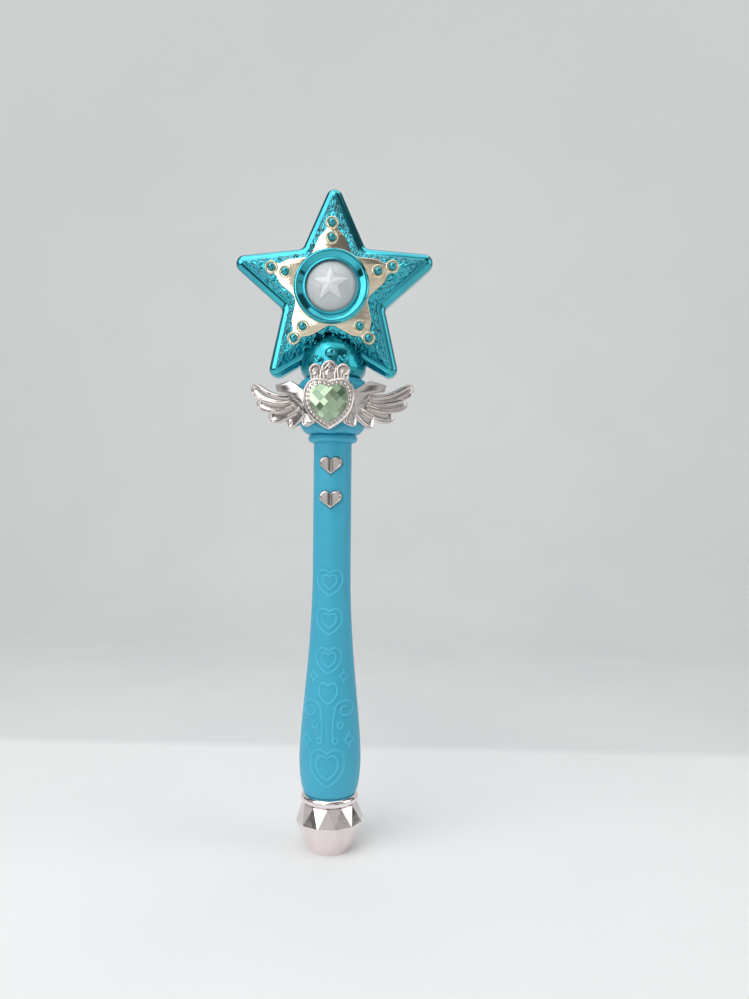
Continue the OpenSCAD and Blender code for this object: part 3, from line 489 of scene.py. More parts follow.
def tube(path, radius, sides=10, closed=False, out=(0, -1, 0)):
    """A round bar along a path that lies on a surface facing out; open ends are rounded."""
    path = np.asarray(path, float)
    if closed:
        along = np.roll(path, -1, axis=0) - np.roll(path, 1, axis=0)
    else:
        along = np.gradient(path, axis=0)
    along = unit(along)
    side = unit(np.cross(along, np.broadcast_to(np.asarray(out, float), along.shape)))
    up = np.cross(side, along)
    thick = np.broadcast_to(np.asarray(radius, float), (len(path),)).copy()
    if not closed:
        step = distance_along(path)
        end = np.minimum(step, step[-1] - step)
        thick *= np.sqrt(np.clip(1 - (1 - np.minimum(end / thick, 1)) ** 2, 0.02, 1))
    angle = full_turn(sides)
    rings = [p + r * (np.outer(np.cos(angle), a) + np.outer(np.sin(angle), b))
             for p, r, a, b in zip(path, thick, side, up)]
    return loft(rings, ends_joined=closed, caps=not closed)


def ball(centre, radius, steps=16):
    """A ball: rings between two small end faces."""
    tilt = np.linspace(-math.pi / 2 + 0.05, math.pi / 2 - 0.05, steps // 2 + 1)
    profile = [(radius * math.cos(t), radius * math.sin(t)) for t in tilt]
    points, faces = turned(profile, upright, steps, caps=True)
    return points + np.asarray(centre, float), faces


def put(name, data):
    """A new object in the scene."""
    thing = bpy.data.objects.new(name, data)
    bpy.context.scene.collection.objects.link(thing)
    return thing


def evaluated(thing):
    """A mesh of what an object and its modifiers make."""
    return bpy.data.meshes.new_from_object(thing.evaluated_get(bpy.context.evaluated_depsgraph_get()))


def slab(outlines, low, high, edge, place):
    """A flat plate with rounded edges; the first outline is its edge and the others are holes."""
    curve = bpy.data.curves.new("outline", "CURVE")
    curve.dimensions = "2D"
    curve.fill_mode = "BOTH"
    curve.extrude = (high - low) / 2 - edge
    curve.bevel_depth = edge
    curve.bevel_resolution = 3
    curve.offset = -edge
    for outline in outlines:
        spline = curve.splines.new("POLY")
        spline.points.add(len(outline) - 1)
        for point, (a, b) in zip(spline.points, outline):
            point.co = (a, b, 0, 1)
        spline.use_cyclic_u = True
    helper = put("outline", curve)
    mesh = evaluated(helper)
    flat = np.array([v.co for v in mesh.vertices])
    faces = [tuple(p.vertices) for p in mesh.polygons]
    bpy.data.objects.remove(helper)
    bpy.data.curves.remove(curve)
    bpy.data.meshes.remove(mesh)
    return place(flat[:, 0], flat[:, 1], flat[:, 2] + (low + high) / 2), faces


def made_mesh(name, shape, smooth):
    """A mesh in metres with its normals outwards, smooth up to an angle in degrees."""
    points, faces = shape
    mesh = bpy.data.meshes.new(name)
    mesh.from_pydata((points * MM).tolist(), [], faces)
    form = bmesh.new()
    form.from_mesh(mesh)
    bmesh.ops.remove_doubles(form, verts=form.verts, dist=1e-6)
    bmesh.ops.dissolve_degenerate(form, edges=form.edges, dist=1e-6)
    bmesh.ops.recalc_face_normals(form, faces=form.faces)
    form.to_mesh(mesh)
    form.free()
    shade_smooth(mesh, smooth)
    return mesh


def shade_smooth(mesh, angle):
    for polygon in mesh.polygons:
        polygon.use_smooth = angle > 0
    if angle > 0:
        mesh.set_sharp_from_angle(angle=math.radians(angle))


def piece(name, shape, slot, body=HANDLE, replaces=(), smooth=35, finish=None):
    """A new piece of the wand, with its finish, on the body that carries it."""
    thing = put(name, made_mesh(name, shape, smooth))
    thing.data.materials.append(finish or FINISHES[slot])
    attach(thing, body)
    if replaces:
        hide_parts(*replaces)
    return thing


def cut(thing, tools, smooth=35):
    """Takes shapes out of a piece."""
    for tool in tools:
        helper = put("tool", made_mesh("tool", tool, 0))
        step = thing.modifiers.new("cut", "BOOLEAN")
        step.operation = "DIFFERENCE"
        step.object = helper
        step.solver = "EXACT"
        result = evaluated(thing)
        thing.modifiers.clear()
        old, thing.data = thing.data, result
        result.materials.clear()
        result.materials.append(old.materials[0])
        bpy.data.objects.remove(helper)
    shade_smooth(thing.data, smooth)


def prism(outline, low, high, place):
    """A straight prism over a closed outline."""
    outline = np.asarray(outline, float)
    return loft([place(*outline.T, h) for h in (low, high)], caps=True)


def paint_facets(thing, tone_at):
    """Paints every facet of a piece with its own reflection tone, from its middle and its area: a painted
    reflection.
    """
    tones = thing.data.attributes.new("painted_reflection_tone", "FLOAT", "FACE")
    for polygon, tone in zip(thing.data.polygons, tones.data):
        tone.value = tone_at(polygon.center / MM, polygon.area)


def bezier(points, t):
    """Points of a curve with four control points, at shares t of its run."""
    a, b, c, d = np.array(points, float)
    return (1 - t) ** 3 * a + 3 * t * (1 - t) ** 2 * b + 3 * t * t * (1 - t) * c + t ** 3 * d


def bent(points, t):
    """Points of a curve with three control points, at shares t of its run."""
    a, b, c = np.array(points, float)
    return (1 - t) ** 2 * a + 2 * t * (1 - t) * b + t * t * c


# Star head
TIP_STEPS, SIDE_STEPS, NOTCH_STEPS = 12, 84, 40
ARM_ANGLES = [math.radians(90 + 72 * k) for k in range(5)]
GEM_SPOTS = [rho * direction(a) + [0, STAR_Z] for a in ARM_ANGLES for rho in GEM_RHOS]


def star_outline(inset):
    """Rounded star outline moved inwards, tip first, with the same count of points at every inset."""
    tip_r = max(TIP_ROUND - inset, SMALLEST_ROUND)
    notch_r = NOTCH_ROUND + NOTCH_GROWTH * inset
    tip_rho = (SIDE_DIST - inset - tip_r) / math.sin(STAR_HALF_ANGLE)
    notch_rho = (SIDE_DIST - inset + notch_r) / math.cos(NOTCH_ANGLE)
    half = math.pi / 2 - STAR_HALF_ANGLE
    arcs = []
    for a in ARM_ANGLES:
        turn = np.linspace(a - half, a + half, TIP_STEPS + 1)
        arcs.append(tip_rho * direction(a) + circle(turn, tip_r))
        b = a + math.pi / 5
        turn = np.linspace(b + NOTCH_ANGLE, b - NOTCH_ANGLE, NOTCH_STEPS + 1)
        arcs.append(notch_rho * direction(b) - circle(turn, notch_r))
    share = np.linspace(0, 1, SIDE_STEPS + 1)[1:-1, None]
    outline = []
    for arc, following in zip(arcs, arcs[1:] + arcs[:1]):
        outline += [arc, (1 - share) * arc[-1] + share * following[0]]
    return np.vstack(outline)


on_star = forward_of(0, STAR_Z)


def star_ring(inset, forward):
    return on_star(*star_outline(inset).T, forward)


def star_circle(radius, forward):
    """A circle whose points stand at the angles of the star outline's points."""
    return on_star(*(unit(star_outline(SEAT_INSET)) * radius).T, forward)


# Low relief on the star's slopes: a running scroll with leaves on a crinkled ground
SCROLL_PITCH = 10.4
LEAF_LEN, LEAF_LEAN = 1.5, 0.8
CURL_R, CURL_EYE_R, CURL_STEPS = 2.4, 0.6, 46
STROKE_W = 0.8
SCROLL_H = 1.1
HAMMER_H = 0.8
SEAT_GRAIN_H = 0.5
SLOPE_INSET = RIDGE_INSET + 0.55
SLOPE_RINGS = 36
RELIEF_FADE = 0.12


def scroll_strokes(height):
    """Points of one repeat of the scroll, in millimetres along and up the slope."""
    strokes = []
    wave = np.linspace(0, SCROLL_PITCH, 40)
    strokes.append(np.stack([wave, height * (0.5 + 0.26 * np.sin(2 * math.pi * wave / SCROLL_PITCH))], 1))
    for place, side in ((0.25, -1), (0.75, 1)):
        turn = np.linspace(0, 2.3 * math.pi, CURL_STEPS)
        radius = np.linspace(CURL_R, CURL_EYE_R, CURL_STEPS)
        x, y = place * SCROLL_PITCH, height * (0.5 + 0.02 * side)
        curl = [x + radius * np.sin(turn) * 0.9, y - side * radius * np.cos(turn) * 1.15]
        strokes.append(np.stack(curl, 1))
        for lean in (-LEAF_LEAN, LEAF_LEAN):
            leaf = np.linspace(0, LEAF_LEN, 10)
            root_x, root_y = x + 1.2 * lean, y + side * height * 0.24
            strokes.append(np.stack([root_x + leaf * math.sin(lean), root_y + side * leaf * math.cos(lean)], 1))
    points = np.vstack(strokes)
    return np.vstack([points + [shift * SCROLL_PITCH, 0] for shift in (-1, 0, 1)])


def scroll_relief(along, up, height):
    """Height of the relief at places along and up the slope."""
    strokes = scroll_strokes(height)
    along = np.mod(along, SCROLL_PITCH)
    near = np.full(along.shape, 9.0)
    for a, b in strokes:
        near = np.minimum(near, np.hypot(along - a, up - b))
    stroke = np.exp(-((near / STROKE_W) ** 2))
    border = np.clip(np.minimum(up, height - up) / 0.5, 0, 1)
    return SCROLL_H * stroke * border


def hammered(x, y):
    """Uneven level of a crinkled surface, with sharp crests."""
    return 0.7 - 2.4 * abs(blots(x * 0.30, y * 0.30, 7.3)) - 0.7 * abs(blots(x * 0.62, y * 0.62, 2.6))


def rounding(start_inset, end_inset, depth, turns):
    """Insets and depths of a quarter round that starts at the top of the star's side wall."""
    run, rise = end_inset - start_inset, depth - SIDE_WALL_H
    return [(start_inset + run * (1 - math.cos(t)), SIDE_WALL_H + rise * math.sin(t)) for t in turns]


def star_front():
    """Front half of the star: bevel, ridge, slope with its relief, and the seat of the gold plate."""
    bevel = rounding(0, RIDGE_INSET, RIDGE_F, np.linspace(0, 1.35, 12))
    edge = rounded([bevel[-1], (RIDGE_INSET, RIDGE_F + 0.05), (RIDGE_INSET + 0.22, RIDGE_F + 0.32),
                    (SLOPE_INSET, RIDGE_F + 0.2)], 0.15, 4)
    rings = [star_ring(d, f) for d, f in [(0, 0)] + bevel + list(map(tuple, edge[1:-1]))]

    run, rise = SEAT_INSET - SLOPE_INSET, SEAT_F - edge[-1][1]
    slant = math.hypot(run, rise)
    along = distance_along(star_outline((SLOPE_INSET + SEAT_INSET) / 2))
    for t in np.linspace(0, 1, SLOPE_RINGS):
        inset, forward = SLOPE_INSET + run * t, edge[-1][1] + rise * t
        flat = star_outline(inset)
        inward = star_outline(inset + 0.05) - flat
        inward /= np.maximum(np.linalg.norm(inward, axis=1), 1e-6)[:, None]
        lift = scroll_relief(along, np.full(len(along), slant * t), slant)
        fade = min(t, 1 - t, RELIEF_FADE) / RELIEF_FADE
        lift = lift + HAMMER_H * fade * np.array([hammered(x, y) for x, y in flat])
        flat = flat - inward * (lift * rise / slant)[:, None]
        rings.append(on_star(*flat.T, forward + lift * run / slant))
    for inset in np.linspace(SEAT_INSET + 0.2, SEAT_INSET + 2.0, 7):
        ring = star_ring(inset, SEAT_F)
        ring[:, 1] += [SEAT_GRAIN_H * abs(hammered(x, z)) for x, _, z in ring]
        rings.append(ring)
    rings += [star_ring(SEAT_INSET + 2.2, SEAT_F), star_circle(LIGHT_HOLE_R, SEAT_F)]
    rings += [star_circle(LIGHT_HOLE_R, SEAT_F - STAR_WALL)]
    inner = [(SEAT_INSET + 1.0, SEAT_F - STAR_WALL), (RIDGE_INSET + 1.8, RIDGE_F - 0.7),
             (STAR_WALL, SIDE_WALL_H), (STAR_WALL, 0)]
    rings += [star_ring(d, f) for d, f in inner]
    shape = loft(rings, ends_joined=True)
    piece("star_front", shape, "star_plating", replaces=["star_front_shell"], smooth=50)


def star_back():
    """Rounded rear half of the star, a hollow shell with five screw wells."""
    hollow = BACK_DEPTH - STAR_WALL
    steps = rounding(0, BACK_ROUND, BACK_DEPTH, np.linspace(math.pi / 2, 0, 22)) + [(0, 0), (STAR_WALL, 0)]
    steps += rounding(STAR_WALL, BACK_ROUND, hollow, np.linspace(0, math.pi / 2, 10))
    rings = [star_circle(1.0, -BACK_DEPTH)] + [star_ring(d, -f) for d, f in steps] + [star_circle(1.0, -hollow)]
    shell = piece("star_back", loft(rings, caps=True), "star_plating", replaces=["star_rear_shell"])
    wells, bosses, mouth = [], [], -BACK_DEPTH + 0.6
    for a in ARM_ANGLES:
        place = forward_of(*(STAR_SCREW_RHO * direction(a) + [0, STAR_Z]))
        well = [(HEAD_HOLE_R, -BACK_DEPTH - 1), (HEAD_HOLE_R, -STAR_SCREW_Y)]
        wells.append(turned(well, place, 32, caps=True))
        boss = [(HEAD_HOLE_R, mouth), (HEAD_HOLE_R, -STAR_SCREW_Y), (SHANK_HOLE_R, -STAR_SCREW_Y),
                (SHANK_HOLE_R, 0), (BOSS_R, 0), (BOSS_R, mouth)]
        bosses.append(turned(boss, place, 32))
    cut(shell, wells)
    piece("star_screw_wells", joined(bosses), "star_plating")


def gold_plate():
    """Gold trim: a flat star plate whose arms narrow to the outer studs, with a collar round every stud."""
    inset = SEAT_INSET + 0.05
    notch_r = NOTCH_ROUND + NOTCH_GROWTH * inset
    notch_rho = (SIDE_DIST - inset + notch_r) / math.cos(NOTCH_ANGLE)
    shoulder = GEM_RHOS[0] + 0.4
    half_w = (STAR_SHARP_R - inset / math.sin(STAR_HALF_ANGLE) - shoulder) * math.tan(STAR_HALF_ANGLE)
    waist = np.array([2.75, GEM_RHOS[1] - 2.3])
    # One side of an arm, from the middle of a notch to the end of the arm; x across the arm, y along it
    turn = np.linspace(0, NOTCH_ANGLE, 12)
    notch = math.pi / 2 - math.pi / 5
    side = notch_rho * direction(notch) - circle(notch - turn, notch_r)
    corner = np.array([half_w, shoulder])
    lean = np.array([-math.sin(STAR_HALF_ANGLE), math.cos(STAR_HALF_ANGLE)])
    t = np.linspace(0, 1, 10)[:, None]
    neck = bezier([corner, corner + 2.0 * lean, waist - [0.0, 1.6], waist], t)
    start = math.atan2(waist[1] - GEM_RHOS[1], waist[0])
    turn = np.linspace(start, math.pi / 2, 14)[1:]
    end = circle(turn, BEZEL_R + 0.1) + [0, GEM_RHOS[1]]
    half = np.vstack([side, neck, end])
    arm = np.vstack([half, (half * [-1, 1])[::-1][1:]])
    outline = []
    for a in ARM_ANGLES:
        c, s = math.cos(a - math.pi / 2), math.sin(a - math.pi / 2)
        outline.append(arm[:-1] @ np.array([[c, s], [-s, c]]))
    hole = circle(np.linspace(0, 6.28, 90), LENS_RIM_R + 0.1)
    shapes = [slab([np.vstack(outline), hole], GEM_SEAT_F, PLATE_F, 0.3, on_star)]
    hole_r, top = GEM_R + 0.25, BEZEL_TOP_F + 0.35
    profile = rounded([(hole_r, PLATE_F - 0.6), (hole_r, top - 0.3), (hole_r + 0.3, top),
                       (BEZEL_R - 0.2, top - 0.15), (BEZEL_R, PLATE_F), (BEZEL_R, PLATE_F - 0.6)], 0.3)
    shapes += [turned(profile, forward_of(*spot), 40) for spot in GEM_SPOTS]
    piece("gold_plate", joined(shapes), "gold_plating", replaces=["gold_star_plate"], smooth=40)


def studs():
    """Ten half-ball studs in the collars of the gold plate."""
    base = GEM_SEAT_F + 1.6
    stud_r = GEM_R - 0.15
    profile = [(stud_r, GEM_SEAT_F), (stud_r, base)]
    profile += [(stud_r * math.cos(t), base + GEM_R * math.sin(t)) for t in np.linspace(0.1, 1.53, 14)]
    shapes = [turned(profile, forward_of(*spot), 36, caps=True) for spot in GEM_SPOTS]
    piece("star_studs", joined(shapes), "stud_plating", replaces=["star_gems"])


def light_ring():
    """Ring round the light: a rounded outer edge, a face like a funnel and a thin bead next to the dome."""
    hole = LENS_R + 0.05
    top = RING_TOP_F
    profile = rounded([
        (hole, PLATE_F), (RING_R, PLATE_F), (RING_R, top - 1.0), (RING_R - 0.9, top), (RING_R - 1.9, top),
        (hole + 1.25, PLATE_F + 1.35), (hole + 1.05, PLATE_F + 1.35), (hole + 1.0, PLATE_F + 2.1),
        (hole + 0.15, PLATE_F + 2.2), (hole, PLATE_F + 1.7), (hole, PLATE_F)
    ], 0.35)
    piece("light_ring", turned(profile, on_star, 160), "star_plating", replaces=["lens_ring"], smooth=40)


def light_dome():
    """Milky dome with a slim raised star; each ray has a ridge and falls to the dome at its sides."""
    ball_r = (LENS_R ** 2 + LENS_RISE ** 2) / (2 * LENS_RISE)
    angle = full_turn(360) + math.pi / 2
    tip, notch = np.array([LENS_STAR_R, 0.0]), LENS_NOTCH * LENS_STAR_R * direction(math.pi / 5)
    across = notch - tip

    def ray_edge(angle):
        off = np.abs(np.mod(angle - math.pi / 2 + math.pi / 5, 2 * math.pi / 5) - math.pi / 5)
        return (tip[0] * across[1] - tip[1] * across[0]) / (np.cos(off) * across[1] - np.sin(off) * across[0])

    edge = ray_edge(angle)
    rings = []
    for r in np.concatenate([[0.05], np.linspace(0.3, LENS_R - 0.02, 80)]):
        step = np.clip((edge - r) / LENS_STEP_W, 0, 1)
        rise = LENS_RIDGE * (0.45 * step + 0.9 * np.clip(1 - r / edge, 0, 1))
        height = PLATE_F + LENS_RISE - ball_r + math.sqrt(ball_r ** 2 - r ** 2) + rise
        rings.append(on_star(*circle(angle, r).T, height))
    foot = PLATE_F - 1.2
    rim = ((LENS_R - 0.02, PLATE_F), (LENS_RIM_R, PLATE_F - 0.05), (LENS_RIM_R, foot), (LIGHT_HOLE_R, foot))
    rings += [on_star(*circle(angle, r).T, h) for r, h in rim]
    dome = piece("light_dome", loft(rings, caps=True), "frosted_lens", replaces=["lens_dome"], smooth=60)
    tones = dome.data.attributes.new("ray_tone", "FLOAT", "POINT")
    for point, tone in zip(dome.data.vertices, tones.data):
        x, z = point.co.x / MM, point.co.z / MM - STAR_Z
        tone.value = np.clip((ray_edge(math.atan2(z, x)) - math.hypot(x, z)) / LENS_STEP_W, 0, 1)


def neck_bulb():
    """Plated bulb under the star with a ball and two small curls, fitted to the star's notch."""
    under = [(NECK_R - (NECK_R - NECK_FOOT_R) * t ** 2, NECK_WIDE_Z - (NECK_WIDE_Z - HUB_TOP_Z - 0.05) * t)
             for t in np.linspace(1, 0, 10)]
    dome = [(NECK_R * math.cos(t), NECK_WIDE_Z + NECK_DOME_H * math.sin(t))
            for t in np.linspace(0.06, 1.5, 28)]
    bulb = piece("neck_bulb", turned(under + dome, upright, 120, caps=True), "star_plating",
                 replaces=["neck_socket"], finish=NECK_FINISH)
    cut(bulb, [prism(star_outline(-0.05), -40, RIDGE_F + 0.05, on_star),
               prism(star_outline(RIDGE_INSET), RIDGE_F - 0.5, 40, on_star)], smooth=40)

    def on_bulb(x, z):
        r = NECK_R * np.sqrt(1 - ((z - NECK_WIDE_Z) / NECK_DOME_H) ** 2)
        return np.stack([x, -np.sqrt(r * r - x * x), z], -1)

    shapes = [ball(on_bulb(0.0, NECK_BALL_Z) + [0, 0.3 * NECK_BALL_R, 0], NECK_BALL_R, 32)]
    turn, drop = np.linspace(0, 1, 40), np.linspace(0, 1, 16)
    for side in (-1, 1):
        curl = circle(2.6 + 5.6 * turn, NECK_CURL_R * (1 - 0.62 * turn))
        shapes.append(tube(on_bulb(side * (6.6 + curl[:, 0]), NECK_CURL_Z + curl[:, 1]), 0.85))
        x = side * (4.5 - 0.9 * np.sin(math.pi * drop))
        shapes.append(tube(on_bulb(x, NECK_CURL_Z + 1.4 - 4.2 * drop), 0.5))
    piece("neck_curls", joined(shapes), "star_plating")


# Crest
def heart(width, height, steps=22):
    """Heart outline round its middle, with the point at the bottom first."""
    r = 0.265 * width
    a, c = width / 2 - r, height / 2 - r
    lean = math.atan2(c + height / 2, a) - math.asin(r / math.hypot(a, c + height / 2))
    arc = circle(np.linspace(lean - math.pi / 2, math.pi - math.acos(a / r), steps), r) + [a, c]
    return np.vstack([[(0, -height / 2)], arc, (arc * [-1, 1])[::-1][1:]])


def full_heart(width, height, dip, steps=16):
    """Heart outline with full round sides and a dip at its top, with the point at the bottom first."""
    x, z = width / 2, height / 2
    t = np.linspace(0, 1, steps, endpoint=False)[:, None]
    low = bezier([(0, -z), (2 / 3 * x, -0.653 * z), (x, -0.233 * z), (x, 0.26 * z)], t)
    side = bezier([(x, 0.26 * z), (x, 0.72 * z), (0.8 * x, z), (0.5 * x, z)], t)
    top = bezier([(0.5 * x, z), (0.26 * x, z), (0.06 * x, z - 0.7 * dip), (0, z - dip)], t)
    half = np.vstack([low, side, top, [(0, z - dip)]])
    return np.vstack([half, (half * [-1, 1])[-2:0:-1]])


# Root, bend and tip of every feather along and up the wing, and its share of the width
FEATHERS = [
    ((11.3, 2.8), (26.0, 2.8), (34.3, 11.4), 1.0),
    ((9.1, 0.5), (22.7, -2.2), (30.8, 3.3), 1.0),
    ((7.4, -1.7), (17.0, -6.3), (23.6, -3.8), 1.1),
    ((3.6, -3.0), (8.4, -7.8), (12.8, -8.2), 1.15),
    ((0.5, -2.5), (0.2, -6.5), (-0.6, -10.6), 1.1),
]
SHOULDER = [(18.7, 10.4), (9.7, 12.2), (6.0, 10.2), (0.6, 6.3), (0.6, -1.0), (7.4, 2.6), (9.6, 5.2),
            (17.5, 7.0)]
WING_ROOT = [(-0.4, -5.0), (9.0, -2.0), (12.0, 5.4), (4.0, 8.0), (-0.4, 8.0)]
FEATHER_LAYER = 0.3
# Height of a feather, as a share, at distances in millimetres from its edge: wall, rim, groove
RIM_AT = [0.0, 0.15, 0.45, 0.8, 1.15, 1.7, 3.2]
RIM_SHARE = [0.45, 0.80, 0.97, 1.0, 0.84, 0.60, 0.50]


def on_wing(side):
    """Places (along the wing, up, height) on the swept back wing of one side."""
    c, s = math.cos(WING_SWEEP), math.sin(WING_SWEEP)

    def place(a, b, h):
        x = WING_ROOT_X + a * c + h * s
        return np.stack([side * x, -CREST_F + a * s - h * c, CREST_Z + b + 0 * a], -1)

    return place


def feather(spec, height, place):
    """One feather with a raised rim round a grooved middle."""
    root, bend, tip = (np.array(p) for p in spec[:3])
    t = np.sin(np.linspace(0, math.pi / 2 - 0.03, 44))
    s = np.sin(np.linspace(-math.pi / 2, math.pi / 2, 33))
    length = np.linalg.norm(bend - root) + np.linalg.norm(tip - bend)
    rings = []
    for u in t:
        centre = bent([root, bend, tip], u)
        heading = (1 - u) * (bend - root) + u * (tip - bend)
        across = np.array([-heading[1], heading[0]]) / np.linalg.norm(heading)
        half = FEATHER_HALF * spec[3] * (0.75 + 0.3 * u) * math.sqrt(1 - u ** 8)
        flat = centre + np.outer(s * half, across)
        edge = np.minimum(half * (1 - np.abs(s)), 0.9 * (1 - u) * length)
        # The groove is deepest below the middle line, as if the next feather lay on the upper half
        top = height * np.interp(edge, RIM_AT, RIM_SHARE) - 0.12 * height * np.clip(-s, 0, 1) * (edge > 1.0)
        rings.append(np.vstack([place(*flat.T, top), place(*flat[::-1].T, 0)]))
    return loft(rings, caps=True)


def crest():
    """Silver crest: a back plate, a crown, and two wings of five feathers with a shoulder blade."""
    shapes = []
    count = len(FEATHERS)
    for side in (-1, 1):
        place = on_wing(side)
        for k, spec in enumerate(FEATHERS):
            shapes.append(feather(spec, CREST_T + FEATHER_LAYER * (count - k), place))
        blade_h = CREST_T + FEATHER_LAYER * (count + 2)
        shapes.append(slab([rounded_loop(SHOULDER, 1)], 0.0, blade_h, 0.45, place))
        shapes.append(slab([WING_ROOT], 0.0, CREST_T, 0.2, place))
    back = [(-WING_ROOT_X, -5.0), (WING_ROOT_X, -5.0), (WING_ROOT_X, 8.0), (6.0, HEART_H / 2),
            (-6.0, HEART_H / 2), (-WING_ROOT_X, 8.0)]
    shapes.append(slab([back], CREST_F, CREST_F + CREST_T, 0.2, forward_of(0, CREST_Z)))
    shapes += crown()
    piece("winged_crest", joined(shapes), "silver_plating", replaces=["crest_wings"], smooth=45)


CROWN_F = CREST_F + 3.1
CROWN_R, CROWN_SIDE_R, CROWN_PITCH = 4.2, 3.4, 6.8
CROWN_H, CROWN_SIDE_H = 9.1, 7.5
ARCH_BAR, LEAF_BAR, FLUTE_BAR = 0.75, 0.62, 0.6
# Flutes of a side lobe: places of the foot and the head across it, and the head's height
FLUTES = ((-0.9, -0.9, 5.2), (0.5, 0.3, 4.4), (2.1, 2.5, 2.6))
WINDOW_R = 2.25


def lobe(x, radius, top):
    """A round lobe on a straight stem."""
    turn = np.linspace(-0.6, math.pi + 0.6, 40)
    arc = circle(turn, radius) + [x, top - radius]
    return np.vstack([[(x + 0.8 * radius, -1.0)], arc, [(x - 0.8 * radius, -1.0)]])


def crown():
    """Middle lobe: an arch round a peaked leaf and a window. Side lobes: fluted leaves that curl outwards."""
    place = forward_of(0, CROWN_Z)
    reach = CROWN_PITCH + 1
    band = [(-reach, -2.4), (reach, -2.4), (reach, 2.4), (-reach, 2.4)]
    shapes = [slab([band], CREST_F, CREST_F + 1.4, 0.3, place)]
    shapes.append(slab([lobe(0, CROWN_R, CROWN_H)], CREST_F, CREST_F + 1.1, 0.3, place))
    path = resampled(lobe(0, CROWN_R - ARCH_BAR, CROWN_H - ARCH_BAR), 70)
    shapes.append(tube(place(*path.T, CROWN_F - ARCH_BAR), ARCH_BAR, 14))
    # Peaked leaf inside the arch, two small leaves beside its tip, and the window below
    rise = np.linspace(-1, 1, 31)
    peak = 7.2 - 2.9 * np.abs(rise) ** 1.3
    shapes.append(tube(place(2.6 * rise, peak, CREST_F + 2.2 + 0.3 * (1 - np.abs(rise))), FLUTE_BAR, 12))
    shapes.append(ball((0, -(CREST_F + 1.9), CROWN_Z + 5.7), 0.9, 16))
    window = circle(full_turn(48), WINDOW_R) + [0, 2.6]
    shapes.append(slab([window], CREST_F + 1.2, CREST_F + 2.3, 0.35, place))
    for side in (-1, 1):
        outline = lobe(0, CROWN_SIDE_R, CROWN_SIDE_H) * [side, 1] + [side * CROWN_PITCH, 0]
        shapes.append(slab([outline], CREST_F, CREST_F + 1.0, 0.3, place))
        # The edge runs up the inner side, over the top and rolls in at the outer side
        reach, eye = CROWN_SIDE_R - LEAF_BAR, CROWN_SIDE_H - CROWN_SIDE_R
        stops = [-1.15 * math.pi, -0.3, math.pi]
        swing = np.linspace(stops[2], stops[0], 60)
        curl = circle(swing, np.interp(swing, stops, [0.75, reach, reach]))
        curl += np.stack([np.interp(swing, stops, [1.3, 0.0, 0.0]), np.full(60, eye)], 1)
        edge = resampled(np.vstack([[(-reach + 0.5, -1.0)], curl]), 80)
        path = place(side * (CROWN_PITCH + edge[:, 0]), edge[:, 1], CROWN_F - LEAF_BAR)
        shapes.append(tube(path, LEAF_BAR, 12))
        lift = np.linspace(0, 1, 20)
        for foot, head, top in FLUTES:
            x = side * (CROWN_PITCH + foot + (head - foot) * lift ** 2)
            shapes.append(tube(place(x, -1.0 + (top + 1.0) * lift, CREST_F + 1.6), FLUTE_BAR, 12))
    return shapes


BEADS, BEAD_R = 32, 0.9
# Insets of the frame's rim, row of beads and lip from its outline
RIM_R, BEAD_INSET, LIP_INSET = 0.62, 2.05, 3.25
HEART_DIP = 0.04 * HEART_H
STONE_DIP = 0.1 * STONE_H


def beaded_heart():
    """Heart frame: a rounded outer rim, a channel with a row of beads, and a thin lip round the stone."""
    place = forward_of(0, CREST_Z)
    shapes = [slab([full_heart(HEART_W, HEART_H, HEART_DIP)], HEART_BACK_F, HEART_FRONT_F - 0.9, 0.25, place)]

    def heart_line(inset, count):
        line = full_heart(HEART_W - 2 * inset, HEART_H - 2.1 * inset, HEART_DIP + 0.25 * inset)
        return resampled(line, count, closed=True)

    for inset, sunk, radius, sides in ((RIM_R, RIM_R, RIM_R, 16), (LIP_INSET, 0.5, 0.45, 10)):
        line = place(*heart_line(inset, 180).T, HEART_FRONT_F - sunk)
        shapes.append(tube(line, radius, sides, closed=True))
    for x, z in heart_line(BEAD_INSET, BEADS):
        shapes.append(ball((x, -(HEART_FRONT_F - BEAD_R - 0.05), CREST_Z + z), BEAD_R, 14))
    piece("heart_setting", joined(shapes), "silver_plating", replaces=["heart_frame"], smooth=50)


CHECK_HALF = 2.05
CHECK_TALL = 1.08
CHECK_REACH = 7
CHECK_WELD = 0.004


def clipped(shape, axis, limit, sign):
    """The part of a flat closed shape on one side of a limit of one coordinate."""
    kept = []
    for a, b in zip(shape, shape[1:] + shape[:1]):
        a_in, b_in = sign * (a[axis] - limit) <= 0, sign * (b[axis] - limit) <= 0
        if a_in:
            kept.append(a)
        if a_in != b_in:
            kept.append(a + (limit - a[axis]) / (b[axis] - a[axis]) * (b - a))
    return kept


